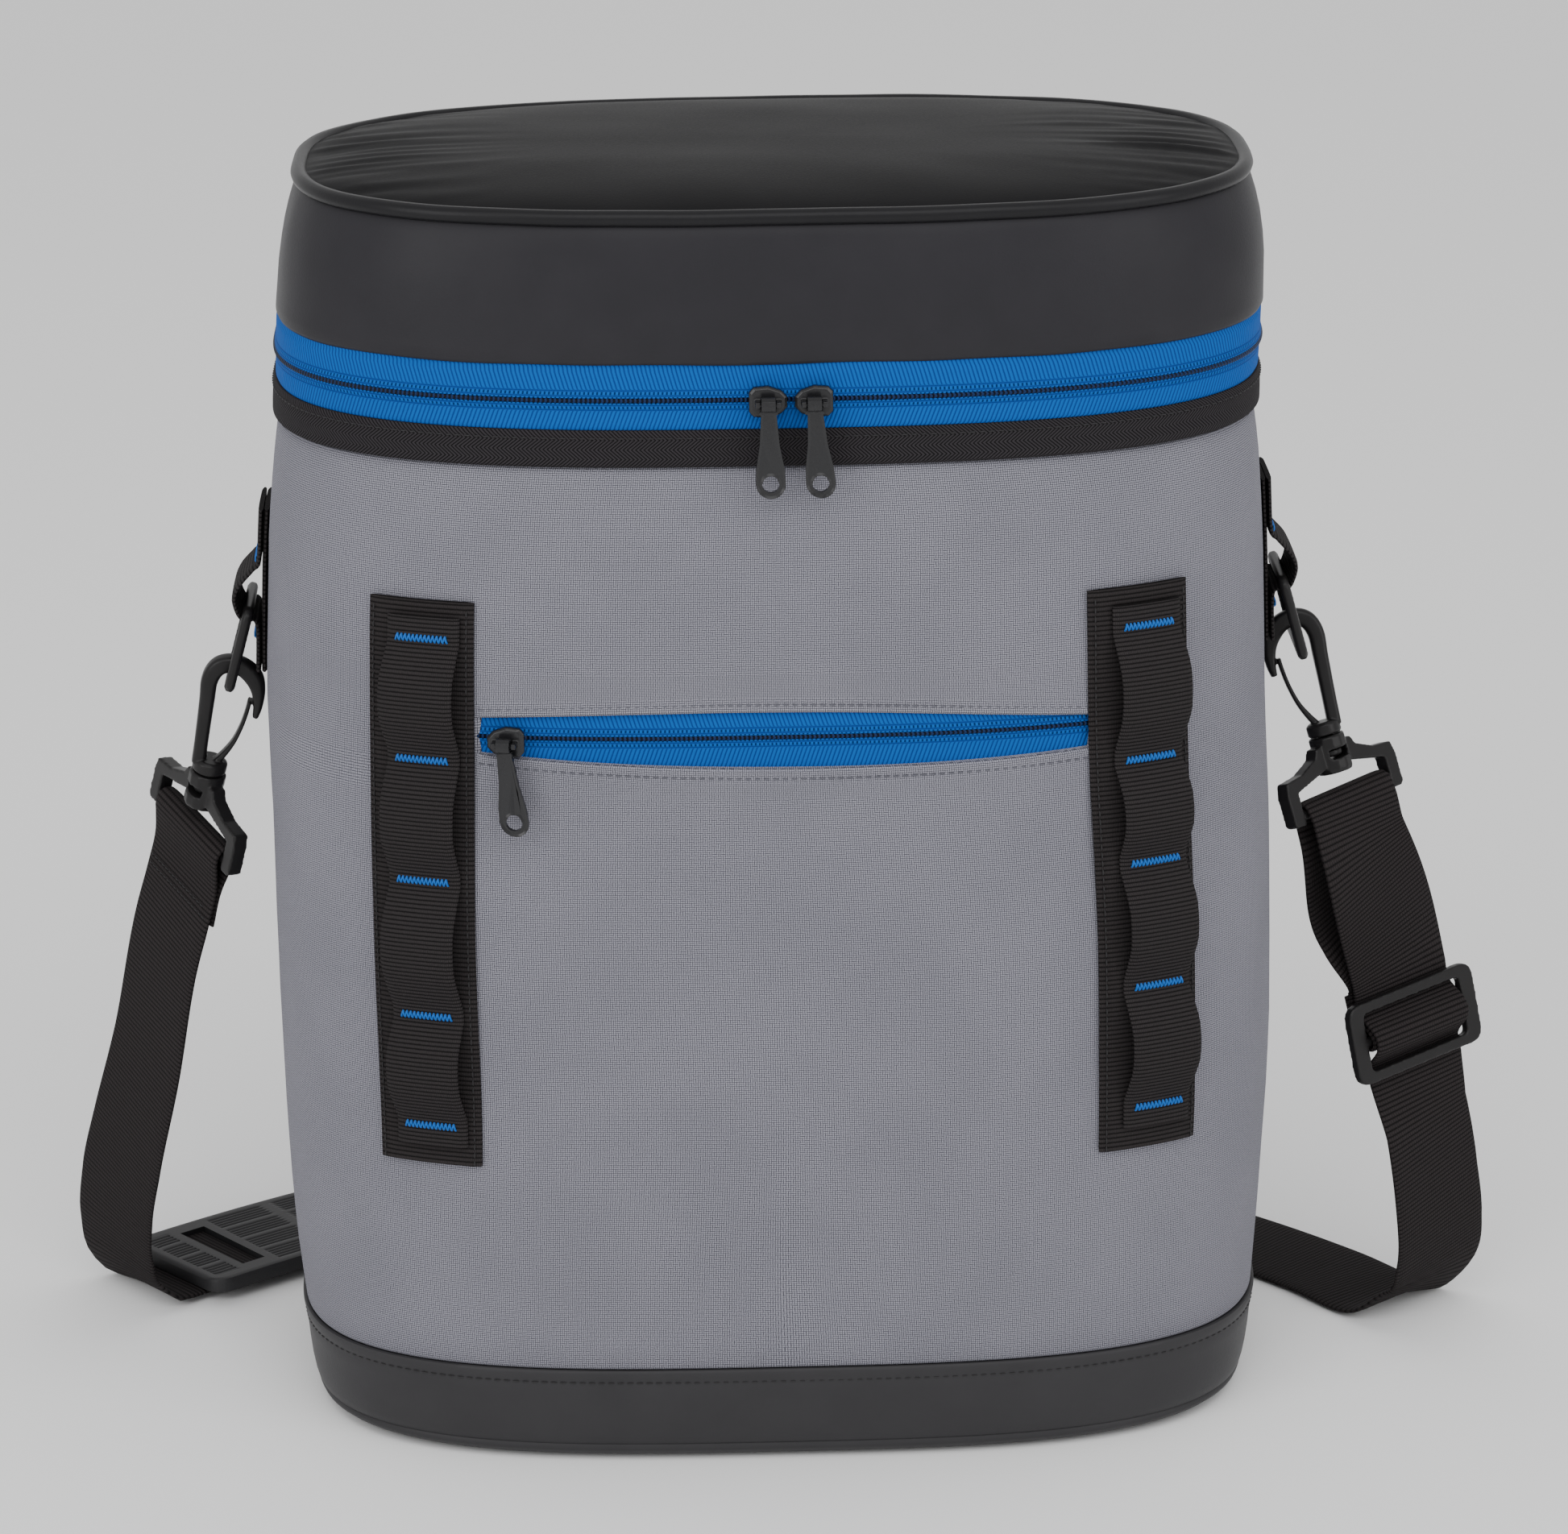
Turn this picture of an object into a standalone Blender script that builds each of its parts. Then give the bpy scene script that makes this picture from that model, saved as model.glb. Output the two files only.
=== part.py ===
"""Cooler backpack: a soft cooler with a zipped lid, webbing chains and a clip-on shoulder strap.

Metres, +Z up. The bag stands on the floor at z = 0, with its front facing -Y and the middle of
its base at the origin. The strap hangs from both sides and lies round the back on the floor.
"""
import math

import bmesh
import bpy
from mathutils import Matrix, Vector

for old in list(bpy.data.objects):
    bpy.data.objects.remove(old, do_unlink=True)

MM = 0.001

# Clearances
GAP = 0.3 * MM            # between pieces that touch on the real bag
RUN = 0.35 * MM           # round a pin that turns
SEAT = 0.4 * MM           # between a hanging ring and what it hangs in
CHAMFER = 1 * MM          # on the strap bars
EASE = 1.2 * MM           # slack of a side loop behind its ring
PAST = 4 * MM             # a cutter runs past the faces it cuts by this

# The bag
BAG_WIDTH = 306 * MM
BAG_DEPTH = 177 * MM
BAND_HEIGHT = 31.3 * MM   # black bottom band
BODY_HEIGHT = 282.9 * MM  # grey wall
BINDING_WIDTH = 11.5 * MM
LOWER_TAPE_WIDTH = 6.4 * MM
COIL_WIDTH = 2.6 * MM
UPPER_TAPE_WIDTH = 8.6 * MM
LID_HEIGHT = 41.5 * MM    # lid wall, from the zip to the piping
WALL = 6 * MM             # padded wall
LID_WALL = 5 * MM         # padded lid
FLOOR = 5 * MM
PIPING = 5 * MM           # diameter
PANEL_RISE = 5.5 * MM     # puff of the top panel above the piping
TAPE = 1.1 * MM           # zip tape thickness
COIL_RISE = 1.5 * MM      # coil above the tape
BINDING = 3.4 * MM        # folded webbing over the raw edge
HINGE = 2.4 * MM
ZIP_BULGE = 0.9 * MM      # tape and binding stand proud of the wall
HINGE_SPAN = 172 * MM     # width of the panel behind, between the zip's ends

# Webbing
CHAIN_BACKING_WIDTH = 32 * MM
CHAIN_WEB_WIDTH = 21.5 * MM
SIDE_WEB_WIDTH = 25 * MM
CHAIN_LENGTH = 176 * MM
CHAIN_FOOT = 97.7 * MM    # height of the chains' lower ends
CHAIN_BOW = 3.6 * MM      # widest gap under a bow
WEB = 1.5 * MM            # thickness of all webbing
SIDE_WEB_LENGTH = 51 * MM
LOOP_REACH = 11 * MM      # how far a side loop stands off the wall

# Pocket zip in the front wall
POCKET_HEIGHT = 232.3 * MM
POCKET_OPENING = 15.4 * MM
POCKET_RECESS = 2 * MM
POCKET_COIL = 3 * MM
POCKET_SLIDER_INSET = 8.4 * MM

# Zip sliders and pullers
SLIDER_LENGTH = 11 * MM
SLIDER_WIDTH = 9.4 * MM
SLIDER_BODY = 2.2 * MM
CROWN_PIN = 1.7 * MM
CROWN_SPAN = 4.6 * MM     # clear width between the crown's feet
CROWN_FOOT = 1.4 * MM
SLIDER_SPREAD = 13.1 * MM  # between the two main sliders
SLIDER_MIDDLE = 3.7 * MM   # their middle, to the right of the bag's middle
PULLER_LENGTH = 27.6 * MM
PULLER_WIDTH = 8.6 * MM
PULLER_NECK = 5.4 * MM
PULLER_PLATE = 1.6 * MM
PULLER_HOLE = 5 * MM
PULLER_EYE = 1.1 * MM      # wall of the eye round the crown's pin

# Side rings, hooks and strap bars
RING_WIDTH = 34 * MM
RING_HEIGHT = 28.4 * MM
RING_ROD = 3.6 * MM
HOOK_HEIGHT = 40.4 * MM
HOOK_WIDTH = 20.3 * MM
HOOK_BAR = 5.5 * MM
HOOK_DEPTH = 5.4 * MM
GATE = 1.5 * MM
COLLAR = 10.6 * MM
COLLAR_HEIGHT = 4.2 * MM
SHANK = 4.2 * MM
SHANK_HEAD = 7.2 * MM
HEAD_HEIGHT = 2 * MM
BARREL = 11.6 * MM
BARREL_RING = 4.4 * MM     # height of the barrel's upper and lower rings
STRAP_WIDTH = 38 * MM
STRAP = 1.6 * MM
STRAP_STEP = 15 * MM       # between the stations of its course
STRAP_ROOM = 1 * MM        # beside the strap in each slot
LUG = 5 * MM
ARM_DEPTH = 4.8 * MM
BAR = 4 * MM
BAR_DROP = 20.6 * MM       # strap bar below the collar
SLIDER_FRAME_HEIGHT = 26 * MM
SLIDER_FRAME_RIM = 3.6 * MM
SLIDER_FRAME_SIDE = 5.8 * MM
SLIDER_FRAME_DEPTH = 3 * MM
SLIDER_CORNER = 4 * MM
MIDDLE_BAR = 3.2 * MM

# The strap's free course
STRAP_REACH = 35.5 * MM    # the left drop swings out by this from its bar
STRAP_SETBACK = 49 * MM    # and back by this
RIGHT_REACH = 34.5 * MM
RIGHT_SETBACK = 24 * MM
REAR_ROOM = 54 * MM        # from the bag's back to the strap's middle line
FOLD_BACK = 25 * MM        # sewn end under the left bar

# Shoulder pad
PAD_LENGTH = 222 * MM
PAD_WIDTH = 52 * MM
PAD = 4.5 * MM
PAD_START = 8 * MM         # tip, from where the strap reaches the floor
PAD_SLOT_INSET = 16 * MM
PAD_SLOT = 9 * MM
PAD_BANK = 2.0             # degrees, edge next to the bag raised

COLUMNS = 48               # facets round the bag
FRONT = COLUMNS * 3 // 4
BACK = COLUMNS // 4
LEFT = COLUMNS // 2

# Outline of the bag, level by level. Heights are shares of the height of the piping seam,
# half widths and half depths are shares of those of the bag, shift is a share of the half
# width, and power is that of the rounded outline.
LEVELS = [
    dict(height=0.000, width=0.925, depth=0.925, shift=0.000, power=3.2),
    dict(height=0.016, width=0.955, depth=0.965, shift=0.000, power=3.2),
    dict(height=0.080, width=0.971, depth=0.985, shift=0.000, power=3.2),
    dict(height=0.165, width=0.988, depth=0.995, shift=-0.003, power=3.1),
    dict(height=0.290, width=1.000, depth=1.000, shift=0.000, power=3.0),
    dict(height=0.430, width=0.998, depth=1.000, shift=-0.004, power=3.0),
    dict(height=0.580, width=0.992, depth=1.000, shift=-0.011, power=2.9),
    dict(height=0.700, width=0.981, depth=0.994, shift=-0.010, power=2.9),
    dict(height=0.775, width=0.966, depth=0.988, shift=-0.007, power=2.9),
    dict(height=0.812, width=0.955, depth=0.984, shift=-0.007, power=2.86),
    dict(height=0.885, width=0.953, depth=0.980, shift=0.000, power=2.86),
    dict(height=0.945, width=0.947, depth=0.976, shift=0.007, power=2.86),
    dict(height=1.000, width=0.920, depth=0.950, shift=0.009, power=2.86),
]

# Bartacks of each chain, as shares of its length from the lower end.
BARTACKS = dict(left=[0.072, 0.271, 0.512, 0.726, 0.936], right=[0.081, 0.300, 0.522, 0.705, 0.936])

# How far each puller hangs to the right for each unit down.
PULLER_LEANS = dict(left=0.02, right=0.07, pocket=0.12)

# Inner edges of the chain backings, as shares of the half width, the narrow web's inset from
# them, as a share of the backing's width, and the two sides' hardware: ring height as a share of the bag's height, lean of hook and ring in degrees, turn of the
# strap bar about the shank, and how far the hook has slid along its ring, as a share of it.
SIDES = dict(
    left=dict(sign=-1, edge_top=0.577, edge_foot=0.597, inset=0.100, ring=0.6495, ring_lean=15.5,
              hook_lean=14.0, hook_pitch=-9.5, bar_turn=-57.0, slide=-0.15),
    right=dict(sign=1, edge_top=0.590, edge_foot=0.609, inset=0.200, ring=0.6600, ring_lean=15.5,
               hook_lean=15.5, hook_pitch=12.5, bar_turn=39.0, slide=0.21),
)

# Middle line of a hook from its collar up the spine, over the bow and down the nose:
# side and up are shares of the hook's width and height, thick is a share of the bar.
HOOK_SPINE = [
    dict(side=-0.177, up=0.060, thick=0.80), dict(side=-0.212, up=0.297, thick=0.80),
    dict(side=-0.256, up=0.594, thick=0.87), dict(side=-0.281, up=0.767, thick=0.96),
    dict(side=-0.207, up=0.881, thick=1.02), dict(side=-0.039, up=0.933, thick=1.00),
    dict(side=0.172, up=0.921, thick=1.04), dict(side=0.355, up=0.856, thick=1.05),
    dict(side=0.463, up=0.755, thick=0.80), dict(side=0.507, up=0.631, thick=0.54),
    dict(side=0.505, up=0.540, thick=0.34),
]
HOOK_GATE = [
    dict(side=0.060, up=0.075, thick=1.6), dict(side=0.170, up=0.170, thick=1.3),
    dict(side=0.270, up=0.290, thick=1.0), dict(side=0.335, up=0.430, thick=0.9),
    dict(side=0.365, up=0.560, thick=0.9), dict(side=0.372, up=0.660, thick=0.9),
]

# Hanging stretches of the strap, from each bar down to the floor: out and back are shares of
# the reach and setback, height is a share of the bar's height, turn is the share of the way
# from the bar's direction to the direction across the strap on the floor.
LEFT_DROP = [
    dict(out=0.30, back=0.13, height=0.790, turn=0.06),
    dict(out=0.57, back=0.34, height=0.533, turn=0.30),
    dict(out=0.80, back=0.55, height=0.350, turn=0.60),
    dict(out=0.94, back=0.73, height=0.220, turn=0.80),
    dict(out=0.98, back=0.85, height=0.125, turn=0.92),
    dict(out=0.92, back=0.94, height=0.050, turn=1.00),
]
RIGHT_DROP = [
    dict(out=0.84, back=0.05, height=0.410, turn=0.00),
    dict(out=0.97, back=0.20, height=0.270, turn=0.15),
    dict(out=1.04, back=0.48, height=0.150, turn=0.40),
    dict(out=1.00, back=0.80, height=0.065, turn=0.80),
]
SLIDER_DOWN = 0.580        # slider's height, as a share of the right bar's
SLIDER_OUT = 0.70          # and its share of the right reach
LEFT_HEADING = 40.0        # degrees in plan, where the left drop runs on along the floor
RIGHT_HEADING = 127.0      # the same on the right

BINDING_FOOT = BAND_HEIGHT + GAP + BODY_HEIGHT + GAP
TAPE_FOOT = BINDING_FOOT + BINDING_WIDTH + GAP
COIL_FOOT = TAPE_FOOT + LOWER_TAPE_WIDTH + GAP
UPPER_FOOT = COIL_FOOT + COIL_WIDTH + GAP
LID_FOOT = UPPER_FOOT + UPPER_TAPE_WIDTH + GAP
SEAM_HEIGHT = LID_FOOT + LID_HEIGHT
HALF_WIDTH = BAG_WIDTH / 2
HALF_DEPTH = BAG_DEPTH / 2


def material(name, colour, roughness, metallic=0.0):
    """Principled material with one colour."""
    made = bpy.data.materials.get(name)
    if made is None:
        made = bpy.data.materials.new(name)
        made.use_nodes = True
        shader = made.node_tree.nodes["Principled BSDF"]
        shader.inputs["Base Color"].default_value = (*colour, 1.0)
        shader.inputs["Roughness"].default_value = roughness
        shader.inputs["Metallic"].default_value = metallic
    return made


def finish(name, bm, look, place=None):
    """Turn a bmesh into a named object with its faces pointing out."""
    bmesh.ops.delete(bm, geom=[v for v in bm.verts if not v.link_faces], context="VERTS")
    bmesh.ops.recalc_face_normals(bm, faces=bm.faces[:])
    mesh = bpy.data.meshes.new(name)
    bm.to_mesh(mesh)
    bm.free()
    mesh.shade_smooth()
    mesh.set_sharp_from_angle(angle=math.radians(35))
    made = bpy.data.objects.new(name, mesh)
    bpy.context.scene.collection.objects.link(made)
    mesh.materials.append(look)
    if place is not None:
        made.matrix_world = place
    return made


def skin(outer, inner, wrap=False, holes=(), cap_last=False):
    """Closed solid between two grids of points, cut through at the cells named in holes."""
    bm = bmesh.new()
    sheets = [[[bm.verts.new(p) for p in row] for row in grid] for grid in (outer, inner)]
    across = len(outer[0])
    steps = across if wrap else across - 1
    edges = set()
    for r in range(len(outer) - 1):
        for c in range(steps):
            if (r, c) in holes:
                continue
            corners = [(r, c), (r, (c + 1) % across), (r + 1, (c + 1) % across), (r + 1, c)]
            bm.faces.new([sheets[0][i][j] for i, j in corners])
            bm.faces.new([sheets[1][i][j] for i, j in reversed(corners)])
            edges.update(zip(corners, corners[1:] + corners[:1]))
    if cap_last:
        last = len(outer) - 1
        loop = [(last, c) for c in range(across)]
        bm.faces.new([sheets[0][i][j] for i, j in loop])
        bm.faces.new([sheets[1][i][j] for i, j in reversed(loop)])
        edges.update(zip(loop, loop[1:] + loop[:1]))
    for a, b in edges:
        if (b, a) not in edges:
            bm.faces.new([sheets[0][b[0]][b[1]], sheets[0][a[0]][a[1]],
                          sheets[1][a[0]][a[1]], sheets[1][b[0]][b[1]]])
    return bm


def loft(rings):
    """Closed solid through rings of equal count, capped at both ends."""
    bm = bmesh.new()
    loops = [[bm.verts.new(p) for p in ring] for ring in rings]
    count = len(rings[0])
    for low, high in zip(loops, loops[1:]):
        for i in range(count):
            j = (i + 1) % count
            bm.faces.new([low[i], low[j], high[j], high[i]])
    bm.faces.new(list(reversed(loops[0])))
    bm.faces.new(loops[-1])
    return bm


def circle(radius, count, height=0.0, start=0.0):
    """Points round the Z axis."""
    turns = [start + 2 * math.pi * i / count for i in range(count)]
    return [Vector((radius * math.cos(t), radius * math.sin(t), height)) for t in turns]


def turned(radii_and_heights, count):
    """Solid turned about Z through rows of radius and height."""
    return loft([circle(radius, count, height) for radius, height in radii_and_heights])


def rounded_rectangle(width, height, radius, per_corner):
    """Points of a rectangle with round corners in the XZ plane, centred on zero."""
    points = []
    for corner, (sx, sz) in enumerate([(1, 1), (-1, 1), (-1, -1), (1, -1)]):
        middle = Vector((sx * (width / 2 - radius), 0, sz * (height / 2 - radius)))
        for i in range(per_corner):
            turn = math.pi / 2 * (corner + i / (per_corner - 1))
            points.append(middle + radius * Vector((math.cos(turn), 0, math.sin(turn))))
    return points


def block(low, high):
    """Box between two corners."""
    bm = bmesh.new()
    bmesh.ops.create_cube(bm, size=1.0)
    low = Vector(low)
    high = Vector(high)
    for vert in bm.verts:
        vert.co = Vector([(low[i] + high[i]) / 2 + vert.co[i] * (high[i] - low[i]) for i in range(3)])
    return bm


def boolean(target, tools, operation):
    """Join tools to the target or cut them from it, and keep them as hidden wire guides."""
    for number, bm in enumerate(tools):
        tool = finish("%s.%s_tool_%d" % (target.name, operation.lower(), number), bm,
                      target.data.materials[0], target.matrix_world.copy())
        tool.hide_render = True
        tool.display_type = "WIRE"
        change = target.modifiers.new("%s %d" % (operation.title(), number), "BOOLEAN")
        change.operation = operation
        change.solver = "EXACT"
        change.object = tool


def quarter_angles(count):
    """Angles that share a quarter of the rounded outline into equal lengths."""
    steps = 600
    power = LEVELS[5]["power"]
    fine = [math.pi / 2 * i / steps for i in range(steps + 1)]
    spots = [(HALF_WIDTH * math.cos(t) ** (2 / power) if t < math.pi / 2 else 0.0,
              HALF_DEPTH * math.sin(t) ** (2 / power)) for t in fine]
    along = [0.0]
    for a, b in zip(spots, spots[1:]):
        along.append(along[-1] + math.hypot(b[0] - a[0], b[1] - a[1]))
    angles = []
    place = 0
    for i in range(count):
        while along[place] < along[-1] * i / count:
            place += 1
        angles.append(fine[place])
    return angles


QUARTER = quarter_angles(BACK)
ANGLES = QUARTER + [math.pi - t for t in [math.pi / 2] + QUARTER[:0:-1]]
ANGLES = ANGLES + [t + math.pi for t in ANGLES]


def level_at(height):
    """Sizes of the outline at a height, between the rows of the table."""
    share = min(max(height / SEAM_HEIGHT, 0.0), 1.0)
    for low, high in zip(LEVELS, LEVELS[1:]):
        if share <= high["height"]:
            t = (share - low["height"]) / (high["height"] - low["height"])
            return {key: low[key] + (high[key] - low[key]) * t for key in low}
    return LEVELS[-1]


def corner_point(column, height, proud):
    """Corner of the faceted outline at a height, pushed out by proud."""
    sizes = level_at(height)
    angle = ANGLES[column % COLUMNS]
    c = math.cos(angle)
    s = math.sin(angle)
    reach = 2 / sizes["power"]
    x = (HALF_WIDTH * sizes["width"] + proud) * math.copysign(abs(c) ** reach, c)
    y = (HALF_DEPTH * sizes["depth"] + proud) * math.copysign(abs(s) ** reach, s)
    return Vector((x + HALF_WIDTH * sizes["shift"], y, height))


def surface(u, height, proud=0.0):
    """Point on the bag: u counts facets anticlockwise from the right side."""
    column = math.floor(u)
    a = corner_point(column, height, proud)
    if u == column:
        return a
    return a.lerp(corner_point(column + 1, height, proud), u - column)


def outward(u, height):
    """Direction away from the wall at a place."""
    along = surface(u + 0.5, height) - surface(u - 0.5, height)
    return Vector((along.y, -along.x, 0)).normalized()


def find_u(low, high, test):
    """Place between low and high where the test turns true."""
    for _ in range(40):
        middle = (low + high) / 2
        if test(middle):
            high = middle
        else:
            low = middle
    return (low + high) / 2


def front_u(x, height):
    """Place on the front at an x."""
    return find_u(LEFT, COLUMNS, lambda u: surface(u, height).x > x)


def side_u(sign, y, height):
    """Place on the left (-1) or right (+1) side at a y."""
    if sign < 0:
        return find_u(BACK, FRONT, lambda u: surface(u, height).y < y)
    return find_u(FRONT, COLUMNS + BACK, lambda u: surface(u, height).y > y)


def walk(u, distance, height):
    """Place reached by going a distance round the outline."""
    step = math.copysign(0.02, distance)
    gone = 0.0
    while gone < abs(distance):
        gone += (surface(u + step, height) - surface(u, height)).length
        u += step
    return u


def heights_between(low, high):
    """Both heights and each level of the table between them."""
    inside = [row["height"] * SEAM_HEIGHT for row in LEVELS]
    return [low] + [h for h in inside if low + MM < h < high - MM] + [high]


def band(name, low, high, proud, thickness, look, ends=None):
    """Strip of the wall between two heights, all round or between two places."""
    places = list(range(COLUMNS))
    if ends is not None:
        places = [ends[0]] + list(range(math.ceil(ends[0]), math.floor(ends[1]) + 1)) + [ends[1]]
    rows = heights_between(low, high)
    outer = [[surface(u, h, proud) for u in places] for h in rows]
    inner = [[surface(u, h, proud - thickness) for u in places] for h in rows]
    return finish(name, skin(outer, inner, wrap=ends is None), look)


def lifted_web(name, line, edges, thickness, look):
    """Webbing over the wall: line gives height and middle distance from the wall, edges gives
    the two places it spans at a height."""
    full = [line[0]]
    for a, b in zip(line, line[1:]):
        if b[0] > a[0]:
            for h in heights_between(a[0], b[0])[1:-1]:
                t = (h - a[0]) / (b[0] - a[0])
                full.append((h, a[1] + (b[1] - a[1]) * t))
        full.append(b)
    spans = [edges(h) for h, _ in full]
    first = math.ceil(max(span[0] for span in spans) + 0.02)
    last = math.floor(min(span[1] for span in spans) - 0.02)
    outer = []
    inner = []
    for i, (height, proud) in enumerate(full):
        before = Vector(full[max(i - 1, 0)])
        after = Vector(full[min(i + 1, len(full) - 1)])
        along = (after - before).normalized()
        normal = Vector((-along.y, along.x)) * thickness / 2
        places = [spans[i][0]] + list(range(first, last + 1)) + [spans[i][1]]
        outer.append([surface(u, height + normal.x, proud + normal.y) for u in places])
        inner.append([surface(u, height - normal.x, proud - normal.y) for u in places])
    return finish(name, skin(outer, inner), look)


def frame_at(middle, across, up):
    """Matrix with local X along across, Z along up and Y square to both."""
    z = up.normalized()
    x = (across - z * across.dot(z)).normalized()
    y = z.cross(x)
    turn = Matrix((x, y, z)).transposed().to_4x4()
    return Matrix.Translation(middle) @ turn


def smooth_line(knots, step):
    """Smooth curve through knots of point and across direction, with a station about every step."""
    points = [point for point, _ in knots]
    spans = [(b - a).length for a, b in zip(points, points[1:])]
    slopes = [(b - a) / span for a, b, span in zip(points, points[1:], spans)]
    speeds = [slopes[0]]
    for i in range(1, len(slopes)):
        total = spans[i - 1] + spans[i]
        speeds.append((slopes[i - 1] * spans[i] + slopes[i] * spans[i - 1]) / total)
    speeds.append(slopes[-1])
    stations = []
    for i, span in enumerate(spans):
        pieces = max(1, round(span / step))
        for k in range(pieces):
            t = k / pieces
            start = (2 * t ** 3 - 3 * t ** 2 + 1) * points[i] + (t ** 3 - 2 * t ** 2 + t) * span * speeds[i]
            end = (3 * t ** 2 - 2 * t ** 3) * points[i + 1] + (t ** 3 - t ** 2) * span * speeds[i + 1]
            stations.append((start + end, knots[i][1].lerp(knots[i + 1][1], t).normalized()))
    return stations + [knots[-1]]


def ribbon(name, stations, width, thickness, look):
    """Flat strap through stations of point and across direction, none of it below the floor."""
    rings = []
    for i, (point, across) in enumerate(stations):
        ahead = stations[min(i + 1, len(stations) - 1)][0] - stations[max(i - 1, 0)][0]
        side = across
        if 0 < i < len(stations) - 1:
            side = (across - ahead.normalized() * across.dot(ahead.normalized())).normalized()
        normal = side.cross(ahead).normalized()
        w = side * width / 2
        n = normal * thickness / 2
        ring = [point + w + n, point - w + n, point - w - n, point + w - n]
        lift = Vector((0, 0, max(0.0, GAP - min(p.z for p in ring))))
        rings.append([p + lift for p in ring])
    return finish(name, loft(rings), look)


GREY_CLOTH = material("grey_cloth", (0.30, 0.31, 0.34), 0.85)
BLACK_COATED = material("black_coated_cloth", (0.025, 0.025, 0.028), 0.45)
BLACK_WEBBING = material("black_webbing", (0.012, 0.011, 0.012), 0.8)
BLUE_TAPE = material("blue_zip_tape", (0.0, 0.13, 0.62), 0.7)
ZIP_METAL = material("black_zip_metal", (0.02, 0.02, 0.022), 0.3, 0.6)
BLACK_PLASTIC = material("black_plastic", (0.022, 0.021, 0.022), 0.42)
BLACK_RUBBER = material("black_rubber", (0.02, 0.02, 0.022), 0.6)


def make_base():
    """Bottom band with its floor, one cup."""
    rows = heights_between(0.0, BAND_HEIGHT)
    outer = [[surface(u, h) for u in range(COLUMNS)] for h in rows]
    inner = [[surface(u, max(h, FLOOR), -WALL) for u in range(COLUMNS)] for h in rows]
    bm = bmesh.new()
    shells = [[bm.verts.new(p) for p in row] for row in outer]
    lining = [[bm.verts.new(p) for p in row] for row in [inner[0], inner[-1]]]
    chain = shells + [lining[1], lining[0]]
    for low, high in zip(chain, chain[1:]):
        for i in range(COLUMNS):
            j = (i + 1) % COLUMNS
            bm.faces.new([low[i], low[j], high[j], high[i]])
    bm.faces.new(chain[0])
    bm.faces.new(chain[-1])
    return finish("base_band", bm, BLACK_COATED)


def pocket_ends(height, room):
    """Places between the two chain backings, with room beside each."""
    return chain_edges("left", height)[1] + room, chain_edges("right", height)[0] - room


def chain_edges(side, height):
    """Places where a chain's backing begins and ends at a height."""
    row = SIDES[side]
    share = (height - CHAIN_FOOT) / CHAIN_LENGTH
    edge = HALF_WIDTH * (row["edge_foot"] + (row["edge_top"] - row["edge_foot"]) * share)
    u = front_u(row["sign"] * edge, height)
    far = walk(u, row["sign"] * CHAIN_BACKING_WIDTH, height)
    return min(u, far), max(u, far)


def web_edges(side, height):
    """Places where a chain's narrow web begins and ends at a height."""
    sign = SIDES[side]["sign"]
    inner = chain_edges(side, height)[0 if sign > 0 else 1]
    near = walk(inner, sign * SIDES[side]["inset"] * CHAIN_BACKING_WIDTH, height)
    far = walk(near, sign * CHAIN_WEB_WIDTH, height)
    return min(near, far), max(near, far)


def make_body():
    """Grey wall with the recess of the pocket zip."""
    wall = band("body_wall", BAND_HEIGHT + GAP, BINDING_FOOT - GAP, 0.0, WALL, GREY_CLOTH)
    low = POCKET_HEIGHT - POCKET_OPENING / 2
    high = POCKET_HEIGHT + POCKET_OPENING / 2
    ends = pocket_ends(POCKET_HEIGHT, 0.03)
    places = [ends[0]] + list(range(math.ceil(ends[0]), math.floor(ends[1]) + 1)) + [ends[1]]
    rows = heights_between(low, high)
    outer = [[surface(u, h, PAST) for u in places] for h in rows]
    inner = [[surface(u, h, -POCKET_RECESS) for u in places] for h in rows]
    boolean(wall, [skin(outer, inner)], "DIFFERENCE")
    tape_ends = pocket_ends(POCKET_HEIGHT, 0.06)
    outside = TAPE + GAP - POCKET_RECESS
    band("pocket_zip_tape", low + GAP, high - GAP, outside, TAPE, BLUE_TAPE, tape_ends)
    band("pocket_zip_coil", POCKET_HEIGHT - POCKET_COIL / 2, POCKET_HEIGHT + POCKET_COIL / 2,
         outside + GAP + COIL_RISE, COIL_RISE, BLUE_TAPE, tape_ends)
    return outside + GAP + COIL_RISE


def make_zip():
    """Binding, main zip and the hinge panel behind."""
    band("rim_binding", BINDING_FOOT, BINDING_FOOT + BINDING_WIDTH, ZIP_BULGE, BINDING, BLACK_WEBBING)
    half = HINGE_SPAN / 2
    height = COIL_FOOT
    right = walk(BACK, -half, height)
    left = walk(BACK, half, height)
    room = walk(BACK, GAP, height) - BACK
    ends = (left + room, right + COLUMNS - room)
    band("zip_tape_lower", TAPE_FOOT, COIL_FOOT - GAP, ZIP_BULGE, TAPE, BLUE_TAPE, ends)
    band("zip_tape_upper", UPPER_FOOT, LID_FOOT - GAP, ZIP_BULGE, TAPE, BLUE_TAPE, ends)
    band("zip_coil", COIL_FOOT, UPPER_FOOT - GAP, ZIP_BULGE + COIL_RISE, COIL_RISE + TAPE,
         BLUE_TAPE, ends)
    band("lid_hinge", TAPE_FOOT, LID_FOOT - GAP, ZIP_BULGE, HINGE, BLACK_COATED, (right, left))


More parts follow.
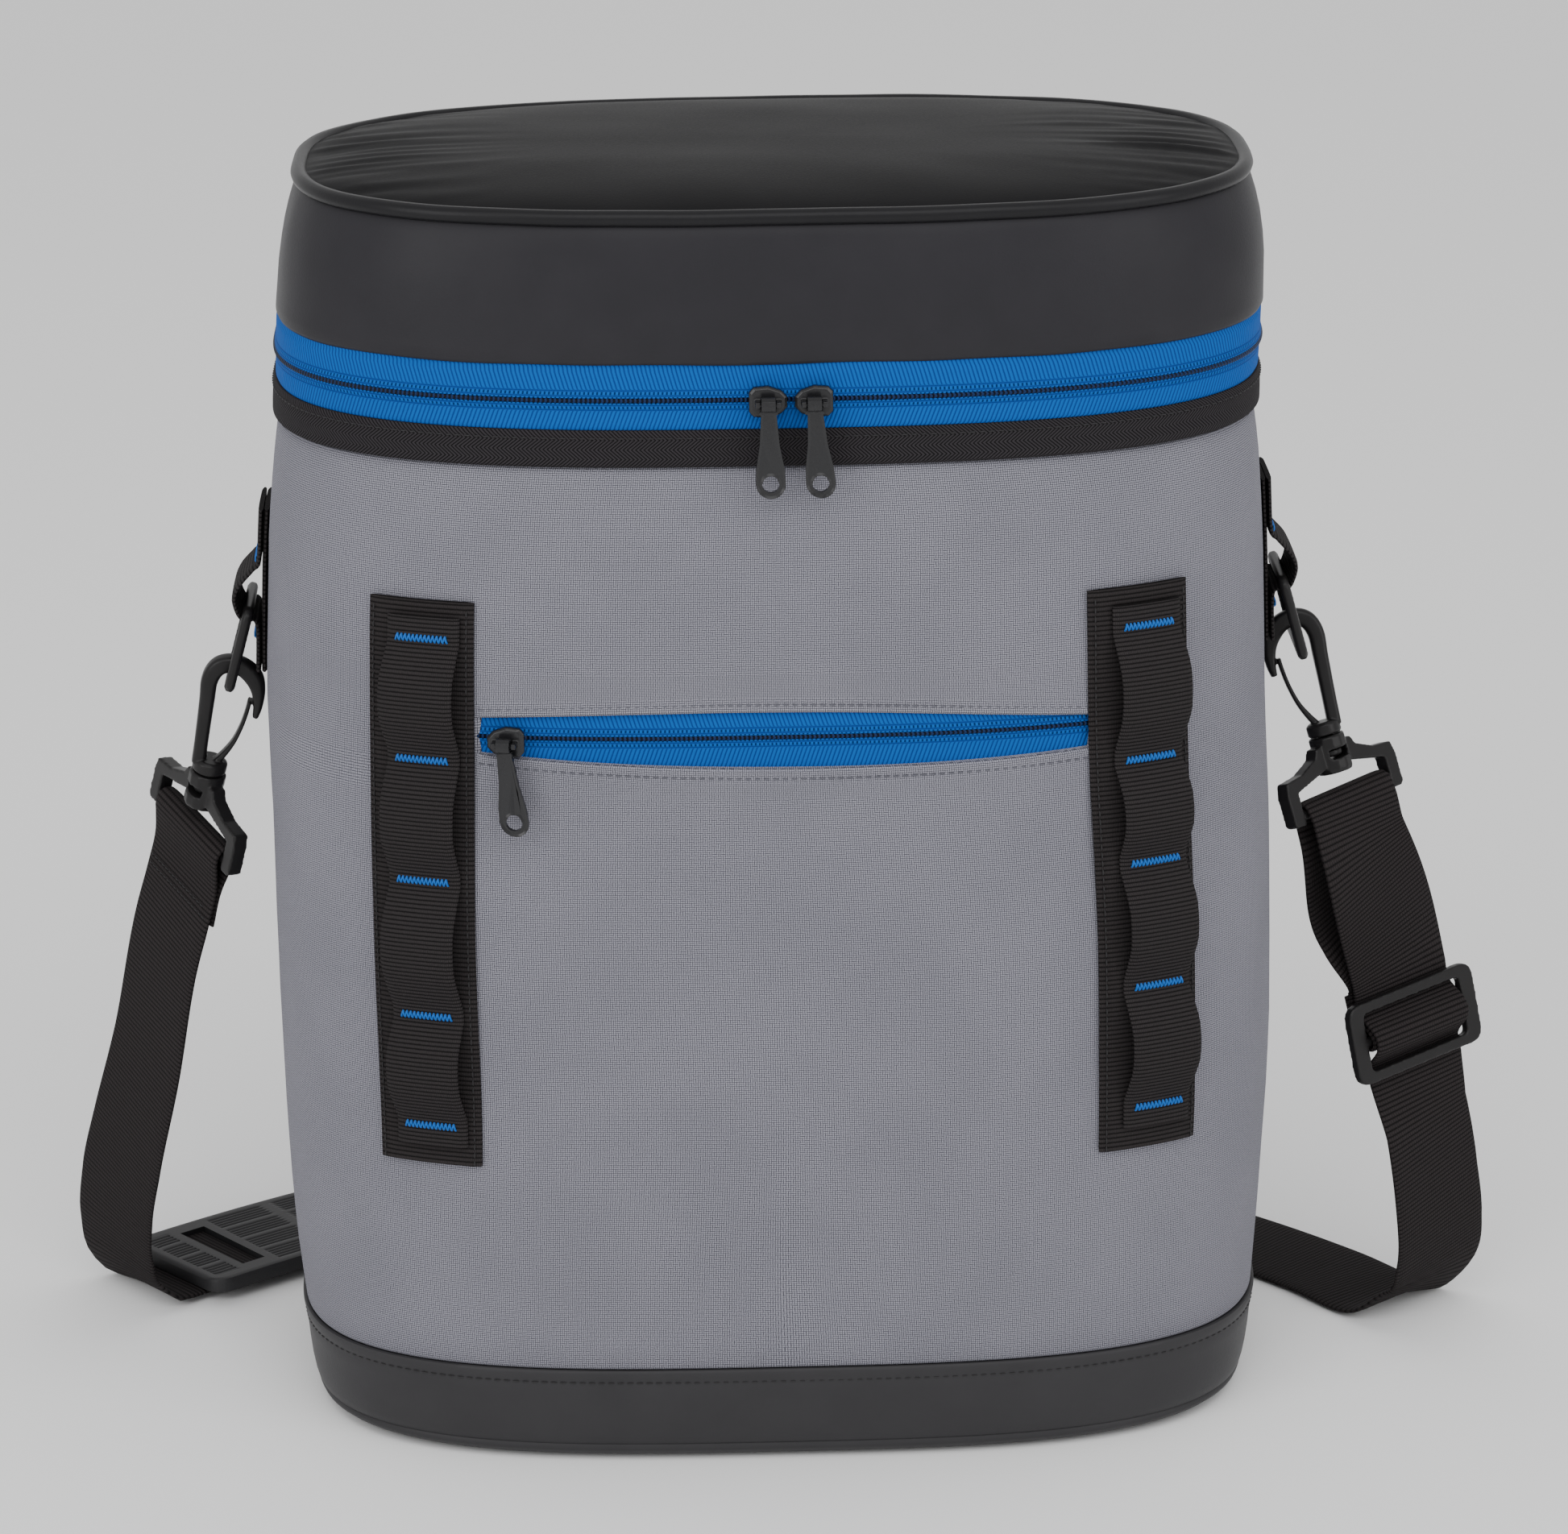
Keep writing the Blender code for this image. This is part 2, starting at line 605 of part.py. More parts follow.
def make_lid():
    """Lid wall, puffed top panel and piping."""
    band("lid_wall", LID_FOOT, SEAM_HEIGHT - PIPING / 2 - GAP, 0.0, LID_WALL, BLACK_COATED)
    pipe_inset = PIPING / 5
    seat = PIPING / 2 + GAP + pipe_inset
    shares = [1.0, 0.93, 0.78, 0.52, 0.22]
    middle = Vector((HALF_WIDTH * LEVELS[-1]["shift"], 0, 0))
    outer = []
    inner = []
    for share in shares:
        rise = PANEL_RISE * (1 - share ** 2.4) + PIPING * 0.3
        edge = [surface(u, SEAM_HEIGHT, -seat) for u in range(COLUMNS)]
        flat = [middle + (p - middle) * share for p in edge]
        outer.append([Vector((p.x, p.y, SEAM_HEIGHT + rise)) for p in flat])
        under = max(rise - LID_WALL, -PIPING / 2)
        inner.append([Vector((p.x, p.y, SEAM_HEIGHT + under)) for p in flat])
    finish("lid_top", skin(outer, inner, wrap=True, cap_last=True), BLACK_COATED)
    pipe = bpy.data.curves.new("lid_piping", "CURVE")
    pipe.dimensions = "3D"
    pipe.bevel_depth = PIPING / 2
    pipe.bevel_resolution = 1
    line = pipe.splines.new("POLY")
    line.points.add(COLUMNS - 1)
    for u in range(COLUMNS):
        line.points[u].co = (*surface(u, SEAM_HEIGHT, -pipe_inset), 1)
    line.use_cyclic_u = True
    pipe.materials.append(BLACK_COATED)
    made = bpy.data.objects.new("lid_piping", pipe)
    bpy.context.scene.collection.objects.link(made)


def make_chain(side):
    """Backing strip with the narrow web bartacked on it in bows."""
    low = CHAIN_FOOT
    high = CHAIN_FOOT + CHAIN_LENGTH
    middle = GAP + WEB / 2
    lifted_web("chain_backing_" + side, [(low, middle), (high, middle)],
               lambda h: chain_edges(side, h), WEB, BLACK_WEBBING)
    base = 2 * GAP + WEB * 1.5
    tacks = [CHAIN_FOOT + share * CHAIN_LENGTH for share in BARTACKS[side]]
    tail = CHAIN_LENGTH * 0.04
    line = [(tacks[0] - tail, base)]
    for a, b in zip(tacks, tacks[1:]):
        line.append((a - tail * 0.2, base))
        for share, lift in [(0.14, 0.30), (0.32, 0.86), (0.5, 1.0), (0.68, 0.86), (0.86, 0.30)]:
            line.append((a + (b - a) * share, base + CHAIN_BOW * lift))
    line.append((tacks[-1] - tail * 0.2, base))
    line.append((tacks[-1] + tail, base))
    lifted_web("chain_web_" + side, line, lambda h: web_edges(side, h), WEB, BLACK_WEBBING)


def make_slider(name, u, height, proud, points_left, lean):
    """Zip slider with a crown, standing on the coil, and its puller hung from the crown."""
    out = outward(u, height)
    along = Vector((-out.y, out.x, 0))
    middle = surface(u, height) + out * (proud + GAP)
    place = frame_at(middle, along, Vector((0, 0, 1)))
    nose = -1 if points_left else 1
    outline = []
    for share_x, share_z in [(-0.5, 0.30), (-0.38, 0.46), (0.0, 0.5), (0.34, 0.36), (0.5, 0.16)]:
        outline.append(Vector((nose * SLIDER_LENGTH * share_x, 0, SLIDER_WIDTH * share_z)))
    loop = outline + [Vector((p.x, 0, -p.z)) for p in reversed(outline)]
    shrink = 0.84
    rings = []
    for depth, size in [(0.0, 1.0), (SLIDER_BODY * 0.7, 1.0), (SLIDER_BODY, shrink)]:
        rings.append([Vector((p.x * size, -depth, p.z * size)) for p in loop])
    slider = finish(name, loft(rings), ZIP_METAL, place)
    axis = SLIDER_BODY + GAP + PULLER_EYE + RUN + CROWN_PIN / 2
    half = CROWN_SPAN / 2 + CROWN_FOOT
    pin = CROWN_PIN / 2
    rod = [[Vector((x, -axis + p.x, p.y)) for p in circle(pin, 8, 0, math.pi / 8)]
           for x in (-half, half)]
    feet = []
    for x in (-half, CROWN_SPAN / 2):
        feet.append(block((x, -axis - pin, -pin), (x + CROWN_FOOT, -SLIDER_BODY * 0.6, pin)))
    boolean(slider, [loft(rod)] + feet, "UNION")
    hinge = place @ Vector((0, -axis, 0))
    make_puller(name.replace("slider", "puller"), frame_at(hinge, along, Vector((0, 0, 1))), lean)


def make_puller(name, place, lean):
    """Flat pull with a round end, a hole and an eye that turns on the crown's pin.

    Lean is how far the pull hangs to the right for each unit down.
    """
    bore = CROWN_PIN / 2 + RUN
    eye = bore + PULLER_EYE
    half_eye = CROWN_SPAN / 2 - GAP
    count = 10
    rings = [[Vector((x, p.x, p.y)) for p in circle(r, count)]
             for x, r in [(-half_eye, eye), (half_eye, eye), (half_eye, bore), (-half_eye, bore)]]
    bm = bmesh.new()
    loops = [[bm.verts.new(p) for p in ring] for ring in rings]
    for low, high in zip(loops, loops[1:] + loops[:1]):
        for i in range(count):
            j = (i + 1) % count
            bm.faces.new([low[i], low[j], high[j], high[i]])
    puller = finish(name, bm, ZIP_METAL, place)
    end = PULLER_WIDTH / 2
    hole_height = -PULLER_LENGTH + end
    outline = []
    for i in range(9):
        turn = math.pi + math.pi * i / 8
        outline.append(Vector((end * math.cos(turn), 0, hole_height + end * math.sin(turn))))
    neck = PULLER_NECK / 2
    top = -(bore + PULLER_EYE * 0.4)
    for x, z in [(end * 0.95, hole_height + end), (neck * 1.05, -PULLER_LENGTH * 0.42),
                 (neck * 0.8, top), (-neck * 0.8, top), (-neck * 1.05, -PULLER_LENGTH * 0.42),
                 (-end * 0.95, hole_height + end)]:
        outline.append(Vector((x, 0, z)))
    for point in outline:
        point.x -= lean * point.z
    middle = Vector((-lean * hole_height, 0, hole_height))
    hole = [middle + (p - middle).normalized() * PULLER_HOLE / 2 for p in outline]
    half = Vector((0, PULLER_PLATE / 2, 0))
    plate = skin([[p + half for p in outline], [p + half for p in hole]],
                 [[p - half for p in outline], [p - half for p in hole]], wrap=True)
    boolean(puller, [plate], "UNION")


def bar_along(rows, span, rise, bar, depth):
    """Bar through rows of side, up and thick in the XZ plane, with an eight-sided section."""
    middles = [Vector((row["side"] * span, 0, row["up"] * rise)) for row in rows]
    rings = []
    for i, row in enumerate(rows):
        ahead = (middles[min(i + 1, len(rows) - 1)] - middles[max(i - 1, 0)]).normalized()
        normal = Vector((ahead.z, 0, -ahead.x))
        w = row["thick"] * bar / 2
        d = depth / 2
        cut = min(w, d) * 0.4
        corners = [(w, d - cut), (w - cut, d), (cut - w, d), (-w, d - cut),
                   (-w, cut - d), (cut - w, -d), (w - cut, -d), (w, cut - d)]
        rings.append([middles[i] + normal * a + Vector((0, b, 0)) for a, b in corners])
    return loft(rings)


def hook_seat(pitch):
    """Place of the ring's rod inside the bow of a hook that leans across it by a pitch."""
    bow = max(HOOK_SPINE, key=lambda row: row["up"])
    lowest = bow["up"] * HOOK_HEIGHT - bow["thick"] * HOOK_BAR / 2
    tilt = HOOK_DEPTH / 2 * abs(math.tan(pitch))
    return Vector((HOOK_WIDTH * 0.03, 0, lowest - SEAT - tilt - RING_ROD / 2))


def make_hook(side, place):
    """Snap hook with its gate, collar and the shank that turns in the strap bar's barrel."""
    hook = finish("hook_" + side, bar_along(HOOK_SPINE, HOOK_WIDTH, HOOK_HEIGHT, HOOK_BAR, HOOK_DEPTH),
                  BLACK_PLASTIC, place)
    gate = bar_along(HOOK_GATE, HOOK_WIDTH, HOOK_HEIGHT, GATE, HOOK_DEPTH * 0.7)
    collar = turned([(COLLAR * 0.46, 0), (COLLAR / 2, COLLAR_HEIGHT * 0.15),
                     (COLLAR / 2, COLLAR_HEIGHT * 0.8), (COLLAR * 0.4, COLLAR_HEIGHT)], 12)
    neck = -(GAP + BARREL_RING + RUN)
    shank = turned([(SHANK_HEAD * 0.4, neck - HEAD_HEIGHT), (SHANK_HEAD / 2, neck - HEAD_HEIGHT * 0.6),
                    (SHANK_HEAD / 2, neck), (SHANK / 2, neck), (SHANK / 2, COLLAR_HEIGHT * 0.5)], 12)
    boolean(hook, [gate, collar, shank], "UNION")


def make_swivel_base(side, place):
    """Strap bar: a barrel that holds the shank, two arms, two lugs and the bar itself."""
    window = HEAD_HEIGHT + 2 * RUN + GAP
    top = -GAP
    roof = top - BARREL_RING
    sill = roof - window
    foot = sill - BARREL_RING
    base = finish("swivel_base_" + side,
                  turned([(BARREL * 0.46, foot), (BARREL / 2, foot + CHAMFER), (BARREL / 2, top - CHAMFER / 2),
                          (BARREL * 0.46, top)], 12), BLACK_PLASTIC, place)
    slot = STRAP_WIDTH / 2 + STRAP_ROOM
    lug = slot + LUG
    shoulder = BARREL / 2
    low = -(BAR_DROP + BAR / 2 + CHAMFER)
    half = ARM_DEPTH / 2
    arm_foot = -BAR_DROP + BAR / 2 + 2 * (STRAP + STRAP_ROOM)
    arms = []
    for sign in (-1, 1):
        shape = [(0.6 * shoulder, top - 0.5 * BARREL_RING), (1.35 * shoulder, top - 0.6 * BARREL_RING),
                 (1.6 * shoulder, roof - CHAMFER), (0.82 * slot, arm_foot + LUG * 0.95),
                 (lug - CHAMFER, arm_foot + LUG * 0.8), (lug, arm_foot), (lug, low + CHAMFER),
                 (lug - CHAMFER, low), (slot + CHAMFER / 2, low), (slot, low + CHAMFER),
                 (slot, arm_foot), (shoulder, foot + 2 * CHAMFER), (0.6 * shoulder, foot + 2 * CHAMFER)]
        arms.append(loft([[Vector((sign * x, y, z)) for x, z in shape] for y in (-half, half)]))
    reach = slot + LUG * 0.5
    bar = loft([[Vector((x, p.x, p.y - BAR_DROP)) for p in circle(BAR / 2, 10)]
                for x in (-reach, reach)])
    boolean(base, arms + [bar], "UNION")
    bore = turned([(SHANK / 2 + RUN, roof - HEAD_HEIGHT / 2), (SHANK / 2 + RUN, PAST)], 12)
    cheek = SHANK_HEAD / 2 + RUN
    hole = block((-cheek, -BARREL, sill), (cheek, BARREL, roof))
    boolean(base, [bore, hole], "DIFFERENCE")


def make_side(side):
    """Side webbing, ring, hook and strap bar of one side. Gives the strap bar's frame."""
    row = SIDES[side]
    sign = row["sign"]
    ring_height = row["ring"] * SEAM_HEIGHT
    rod = RING_ROD / 2
    low = ring_height - 0.38 * SIDE_WEB_LENGTH
    high = low + SIDE_WEB_LENGTH

    def edges(height):
        ends = [side_u(sign, y, height) for y in (-SIDE_WEB_WIDTH / 2, SIDE_WEB_WIDTH / 2)]
        return min(ends), max(ends)

    middle = GAP + WEB / 2
    lifted_web("side_backing_" + side, [(low, middle), (high, middle)], edges, WEB, BLACK_WEBBING)
    base = 2 * GAP + WEB * 1.5
    ring_proud = 2 * GAP + WEB + 2 * SEAT + EASE + rod
    turn = rod + 1.5 * SEAT + WEB / 2
    line = [(low, base), (ring_height - 1.9 * turn, base)]
    for angle in (-120, -95, -70, -45):
        line.append((ring_height + turn * math.sin(math.radians(angle)),
                     ring_proud + turn * math.cos(math.radians(angle))))
    line.append((ring_height + 0.1 * turn, LOOP_REACH - WEB))
    line.append((ring_height + 1.2 * turn, LOOP_REACH - WEB / 2))
    line.append((ring_height + 2.6 * turn, LOOP_REACH * 0.78))
    line.append((ring_height + 4.0 * turn, LOOP_REACH * 0.44))
    line.append((ring_height + 5.0 * turn, base))
    line.append((high, base))
    lifted_web("side_loop_" + side, line, edges, WEB, BLACK_WEBBING)

    lean = math.radians(row["ring_lean"])
    down = Vector((sign * math.sin(lean), 0, -math.cos(lean)))
    wall_x = surface(side_u(sign, 0.0, ring_height), ring_height).x
    top_rod = Vector((wall_x + sign * ring_proud, 0, ring_height))
    drop = RING_HEIGHT - RING_ROD
    ring = bpy.data.curves.new("ring_" + side, "CURVE")
    ring.dimensions = "3D"
    ring.bevel_depth = rod
    ring.bevel_resolution = 1
    points = rounded_rectangle(RING_WIDTH - RING_ROD, drop, RING_ROD * 0.7, 4)
    spline = ring.splines.new("POLY")
    spline.points.add(len(points) - 1)
    for spot, point in zip(spline.points, points):
        spot.co = (*point, 1)
    spline.use_cyclic_u = True
    ring.materials.append(BLACK_PLASTIC)
    made = bpy.data.objects.new("ring_" + side, ring)
    bpy.context.scene.collection.objects.link(made)
    made.matrix_world = frame_at(top_rod + down * drop / 2, Vector((0, 1, 0)), -down)

    low_rod = top_rod + down * drop + Vector((0, row["slide"] * RING_WIDTH, 0))
    lean = math.radians(row["hook_lean"])
    pitch = math.radians(row["hook_pitch"])
    up = Vector((-sign * math.sin(lean), math.sin(pitch), math.cos(lean) * math.cos(pitch)))
    turned_frame = frame_at(Vector(), Vector((-sign, 0, 0)), up)
    hook_place = Matrix.Translation(low_rod - turned_frame @ hook_seat(pitch)) @ turned_frame
    make_hook(side, hook_place)
    bar_place = hook_place @ Matrix.Rotation(math.radians(row["bar_turn"]), 4, "Z")
    make_swivel_base(side, bar_place)
    return bar_place @ Matrix.Translation((0, 0, -BAR_DROP))


def heading(degrees):
    """Direction on the floor."""
    return Vector((math.cos(math.radians(degrees)), math.sin(math.radians(degrees)), 0))


class Course:
    """The strap's course along the floor, round the back of the bag, measured by its length."""

    def __init__(self, start, start_heading, end, end_heading):
        peak = HALF_DEPTH + REAR_ROOM
        rise = start_heading.y + abs(end_heading.y)
        handle = (peak - (start.y + end.y) / 2) / (0.375 * rise)
        controls = [start, start + start_heading * handle, end - end_heading * handle, end]
        self.spots = []
        steps = 240
        for i in range(steps + 1):
            t = i / steps
            weights = ((1 - t) ** 3, 3 * t * (1 - t) ** 2, 3 * t * t * (1 - t), t ** 3)
            self.spots.append(sum((w * p for w, p in zip(weights, controls)), Vector()))
        self.lengths = [0.0]
        for a, b in zip(self.spots, self.spots[1:]):
            self.lengths.append(self.lengths[-1] + (b - a).length)
        self.total = self.lengths[-1]

    def at(self, length):
        """Place on the floor and direction ahead at a length along the course."""
        i = 0
        while i < len(self.lengths) - 2 and self.lengths[i + 1] < length:
            i += 1
        ahead = (self.spots[i + 1] - self.spots[i]).normalized()
        return self.spots[i] + ahead * (length - self.lengths[i]), ahead

    def station(self, length, height, bank):
        """Station of point and across direction, with the edge next to the bag raised."""
        spot, ahead = self.at(length)
        across = Vector((ahead.y, -ahead.x, 0)) * math.cos(bank) + Vector((0, 0, math.sin(bank)))
        return Vector((spot.x, spot.y, height)), across


def drop_knots(bar, rows, reach, setback, sign, last_across):
    """Knots of a hanging stretch below a strap bar."""
    middle = bar.translation
    along = (bar @ Vector((1, 0, 0)) - middle).normalized()
    knots = []
    for row in rows:
        spot = Vector((middle.x + sign * reach * row["out"], middle.y + setback * row["back"],
                       middle.z * row["height"]))
        knots.append((spot, along.lerp(last_across, row["turn"]).normalized()))
    return knots


def in_frame(place, spots):
    """Stations at places given as depth and height in a bar's frame, across along its bar."""
    across = (place @ Vector((1, 0, 0)) - place.translation).normalized()
    return [(place @ Vector((0, y, z)), across) for y, z in spots]


def over_bar(front):
    """Depths and heights of the strap's middle line over its bar, from the front layer back."""
    turn = BAR / 2 + SEAT + STRAP / 2
    arc = [math.radians(angle) for angle in (0, 36, 72, 108, 144, 180)]
    return [(front * turn * math.cos(t), turn * math.sin(t)) for t in arc]


BANK = math.radians(PAD_BANK)
LAID_FLAT = GAP + STRAP / 2                                # strap on the floor
LAID_BANKED = LAID_FLAT + STRAP_WIDTH / 2 * math.sin(BANK)   # strap under the pad
PAD_MIDDLE = LAID_BANKED + STRAP / 2 + GAP + PAD / 2


def make_left_strap(bar, course):
    """Strap from the left bar, folded round it and sewn, down and under the pad."""
    close = (STRAP + GAP) / 2
    turn = BAR / 2 + SEAT + STRAP / 2
    tail = [(close, -FOLD_BACK), (close, -3.6 * turn), (0.75 * turn, -1.5 * turn)]
    front = [(-0.75 * turn, -1.5 * turn), (-close, -3.6 * turn), (-close, -FOLD_BACK)]
    knots = in_frame(bar, tail + over_bar(-1)[::-1] + front)
    pieces = 6
    reach = (PAD_LENGTH - GAP) / 2
    lengths = [0.0, 0.4 * PAD_START, 0.8 * PAD_START]
    lengths += [PAD_START + reach * i / pieces for i in range(1, pieces + 1)]
    laid = [course.station(length, LAID_BANKED, BANK) for length in lengths]
    knots += drop_knots(bar, LEFT_DROP, STRAP_REACH, STRAP_SETBACK, -1, laid[0][1]) + laid
    ribbon("strap_left", smooth_line(knots, STRAP_STEP), STRAP_WIDTH, STRAP, BLACK_WEBBING)


def slider_place(bar):
    """Frame of the strap's slider below the right bar."""
    middle = bar.translation
    spot = Vector((middle.x + RIGHT_REACH * SLIDER_OUT, middle.y + RIGHT_SETBACK * 0.1,
                   middle.z * SLIDER_DOWN))
    up = Vector((-0.182, 0.107, 0.977))
    return frame_at(spot, Vector((-0.82, -0.56, -0.09)), up)


def make_strap_slider(place):
    """Length adjuster: a round-cornered frame with a middle bar."""
    width = STRAP_WIDTH + 2 * STRAP_ROOM + 2 * SLIDER_FRAME_SIDE
    outer = rounded_rectangle(width, SLIDER_FRAME_HEIGHT, SLIDER_CORNER, 4)
    inner = rounded_rectangle(width - 2 * SLIDER_FRAME_SIDE,
                              SLIDER_FRAME_HEIGHT - 2 * SLIDER_FRAME_RIM, SLIDER_CORNER * 0.4, 4)
    half = Vector((0, SLIDER_FRAME_DEPTH / 2, 0))
    frame = skin([[p + half for p in outer], [p + half for p in inner]],
                 [[p - half for p in outer], [p - half for p in inner]], wrap=True)
    made = finish("strap_slider", frame, BLACK_PLASTIC, place)
    reach = (width - SLIDER_FRAME_SIDE) / 2
    bar = loft([[Vector((x, p.x, p.y)) for p in circle(MIDDLE_BAR / 2, 10)] for x in (-reach, reach)])
    boolean(made, [bar], "UNION")


def make_right_strap(bar, course, place):
    """Strap from the join under the pad, up through the slider, round the right bar and back."""
    knots = []
    start = PAD_START + (PAD_LENGTH + GAP) / 2
    end = PAD_START + PAD_LENGTH + STRAP
    pieces = 6
    for i in range(pieces + 1):
        knots.append(course.station(start + (end - start) * i / pieces, LAID_BANKED, BANK))
    flat_from = end + STRAP_WIDTH
    for i in range(pieces + 1):
        length = flat_from + (course.total - flat_from) * i / pieces
        knots.append(course.station(length, LAID_FLAT, 0.0))
    drop = drop_knots(bar, RIGHT_DROP, RIGHT_REACH, RIGHT_SETBACK, 1, knots[-1][1])
    knots += drop[::-1]
    edge = SLIDER_FRAME_HEIGHT / 2 - SLIDER_FRAME_RIM
    behind = -(SLIDER_FRAME_DEPTH / 2 + GAP + STRAP / 2)
    wrap = MIDDLE_BAR / 2 + SEAT + STRAP / 2
    apart = STRAP + GAP
    front = wrap + apart
    rise = [(behind, 1.6 * edge), (behind, 0.96 * edge), (0, 0.66 * edge), (0.72 * front, 0.35 * edge)]
    rise = [(y, -z) for y, z in rise] + [(front, 0)] + rise[::-1]
    knots += in_frame(place, rise)
    turn = BAR / 2 + SEAT + STRAP / 2
    knots += in_frame(bar, [(turn, -4 * turn)] + over_bar(1) + [(-1.3 * turn, -3 * turn)])
    belly = bar.translation.lerp(place.translation, 0.5)
    knots.append((belly + (bar @ Vector((0, -1, 0)) - bar.translation) * STRAP_WIDTH * 0.24, knots[-1][1]))
    low = 0.7 * wrap
    fall = [(behind - 1.6 * apart, 1.9 * edge), (behind - 1.2 * apart, 0.915 * edge),
            (behind, 0.63 * edge), (low, low), (wrap, 0), (low, -low), (0, -wrap), (-low, -low),
            (-1.3 * wrap, 0.2 * wrap), (behind - 1.2 * apart, 0.34 * edge),
            (behind - 2.25 * apart, 0.85 * edge), (behind - 2.6 * apart, 1.5 * edge)]
    knots += in_frame(place, fall)
    ribbon("strap_right", smooth_line(knots, STRAP_STEP), STRAP_WIDTH, STRAP, BLACK_WEBBING)


def make_pad(course):
    """Rubber shoulder pad on the strap, with a slot near each end."""
    inset = PAD_SLOT_INSET
    stations = [0.0, inset * 0.5, inset, inset + PAD_SLOT]
    pieces = 8
    first = inset + PAD_SLOT
    last = PAD_LENGTH - first
    stations += [first + (last - first) * i / pieces for i in range(1, pieces + 1)]
    stations += [PAD_LENGTH - inset, PAD_LENGTH - inset * 0.5, PAD_LENGTH]
    slot = STRAP_WIDTH / 2 + STRAP_ROOM
    rows = ([], [])
    for length in stations:
        tip = min(length, PAD_LENGTH - length) < inset * 0.1
        edge = PAD_WIDTH / 2 * (0.84 if tip else 1.0)
        middle, across = course.station(PAD_START + length, PAD_MIDDLE, BANK)
        ahead = course.at(PAD_START + length)[1]
        up = across.cross(ahead).normalized() * PAD / 2
        for row, side in zip(rows, (1, -1)):
            row.append([middle + across * offset + up * side for offset in (-edge, -slot, slot, edge)])
    count = len(stations)
    holes = {(2, 1), (count - 4, 1)}
    finish("shoulder_pad", skin(rows[0], rows[1], holes=holes), BLACK_RUBBER)


def make_strap(bars):
    """Shoulder strap from bar to bar with its slider and pad."""
    left = bars["left"].translation
    right = bars["right"].translation
    start = Vector((left.x - STRAP_REACH * 0.70, left.y + STRAP_SETBACK, 0))
    end = Vector((right.x + RIGHT_REACH * 0.70, right.y + RIGHT_SETBACK, 0))
    course = Course(start, heading(LEFT_HEADING), end, -heading(RIGHT_HEADING))
    place = slider_place(bars["right"])
    make_left_strap(bars["left"], course)
    make_right_strap(bars["right"], course, place)
    make_strap_slider(place)
    make_pad(course)


def main():
    make_base()
    pocket_face = make_body()
    make_zip()
    make_lid()
    bars = {}
    for side in SIDES:
        make_chain(side)
        bars[side] = make_side(side)
    make_strap(bars)
    zip_height = (COIL_FOOT + UPPER_FOOT - GAP) / 2
    zip_face = ZIP_BULGE + COIL_RISE
    for side, sign in (("left", -1), ("right", 1)):
        u = front_u(SLIDER_MIDDLE + sign * SLIDER_SPREAD / 2, zip_height)
        make_slider("main_slider_" + side, u, zip_height, zip_face, sign > 0, PULLER_LEANS[side])
    u = walk(pocket_ends(POCKET_HEIGHT, 0.06)[0], POCKET_SLIDER_INSET, POCKET_HEIGHT)
    make_slider("pocket_slider", u, POCKET_HEIGHT, pocket_face, True, PULLER_LEANS["pocket"])


main()
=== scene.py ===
# %% [markdown]
# A soft cooler backpack, finished over its packed model. The packed model is the frame: every
# piece below lies where a packed solid lies, and most of them stand in for one. The lesson goes
# from the camera to the cloth, the lid, the zips, the webbing, the hardware and the strap.

# %% Load the frame
import math

import bmesh
import bpy
from mathutils import Matrix, Vector, noise


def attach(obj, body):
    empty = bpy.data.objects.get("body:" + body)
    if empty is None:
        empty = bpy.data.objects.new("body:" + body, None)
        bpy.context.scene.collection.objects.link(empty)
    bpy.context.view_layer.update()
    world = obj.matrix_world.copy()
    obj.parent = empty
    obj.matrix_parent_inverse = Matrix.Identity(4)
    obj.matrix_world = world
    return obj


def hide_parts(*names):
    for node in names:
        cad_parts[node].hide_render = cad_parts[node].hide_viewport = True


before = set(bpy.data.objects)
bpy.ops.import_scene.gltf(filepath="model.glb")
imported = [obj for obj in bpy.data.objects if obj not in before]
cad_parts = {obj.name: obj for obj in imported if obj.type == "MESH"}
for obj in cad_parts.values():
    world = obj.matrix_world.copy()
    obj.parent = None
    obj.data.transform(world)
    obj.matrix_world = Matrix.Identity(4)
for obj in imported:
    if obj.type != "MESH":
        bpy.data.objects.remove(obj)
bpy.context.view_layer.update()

MM = 0.001
BAG = "bag"

# %% [markdown]
# The camera stands where the photographer stood: a long lens, a little above the bag and a
# little to its left. Its frame is 1946 pixels wide, and one pixel at the bag is a quarter of a
# millimetre. The floor is pale, with a soft sweep of light from above and two side boxes that
# draw the long highlights on the coated cloth.

# %% Camera
FRAME_WIDTH = 1946
FOCAL_PIXELS = 7006
DISTANCE = 1.740
TARGET = Vector((3.5, 0, 193.9)) * MM
camera_data = bpy.data.cameras.new("camera")
camera_data.sensor_width = 36.0
camera_data.lens = 36.0 * FOCAL_PIXELS / FRAME_WIDTH
camera_data.clip_end = 50.0
camera = bpy.data.objects.new("camera", camera_data)
bpy.context.scene.collection.objects.link(camera)
azimuth, elevation, roll = (math.radians(a) for a in (-1.74, 18.72, -0.52))
back = Vector((math.sin(azimuth) * math.cos(elevation), -math.cos(azimuth) * math.cos(elevation),
               math.sin(elevation)))
camera.location = TARGET + back * DISTANCE
look = (-back).to_track_quat("-Z", "Y").to_matrix().to_4x4()
camera.rotation_euler = (look @ Matrix.Rotation(roll, 4, "Z")).to_euler()
bpy.context.scene.camera = camera
print("lens in mm:", round(camera_data.lens, 1))

# %% Floor and light
LIGHTS = [dict(name="top_light", place=(0.1, -1.2, 1.5), size=(1.6, 1.0), power=12),
          dict(name="left_light", place=(-1.4, -1.3, 0.9), size=(0.8, 1.3), power=12),
          dict(name="right_light", place=(1.5, -1.1, 0.8), size=(0.7, 1.3), power=8)]
AIM = Vector((0, 0, 0.2))


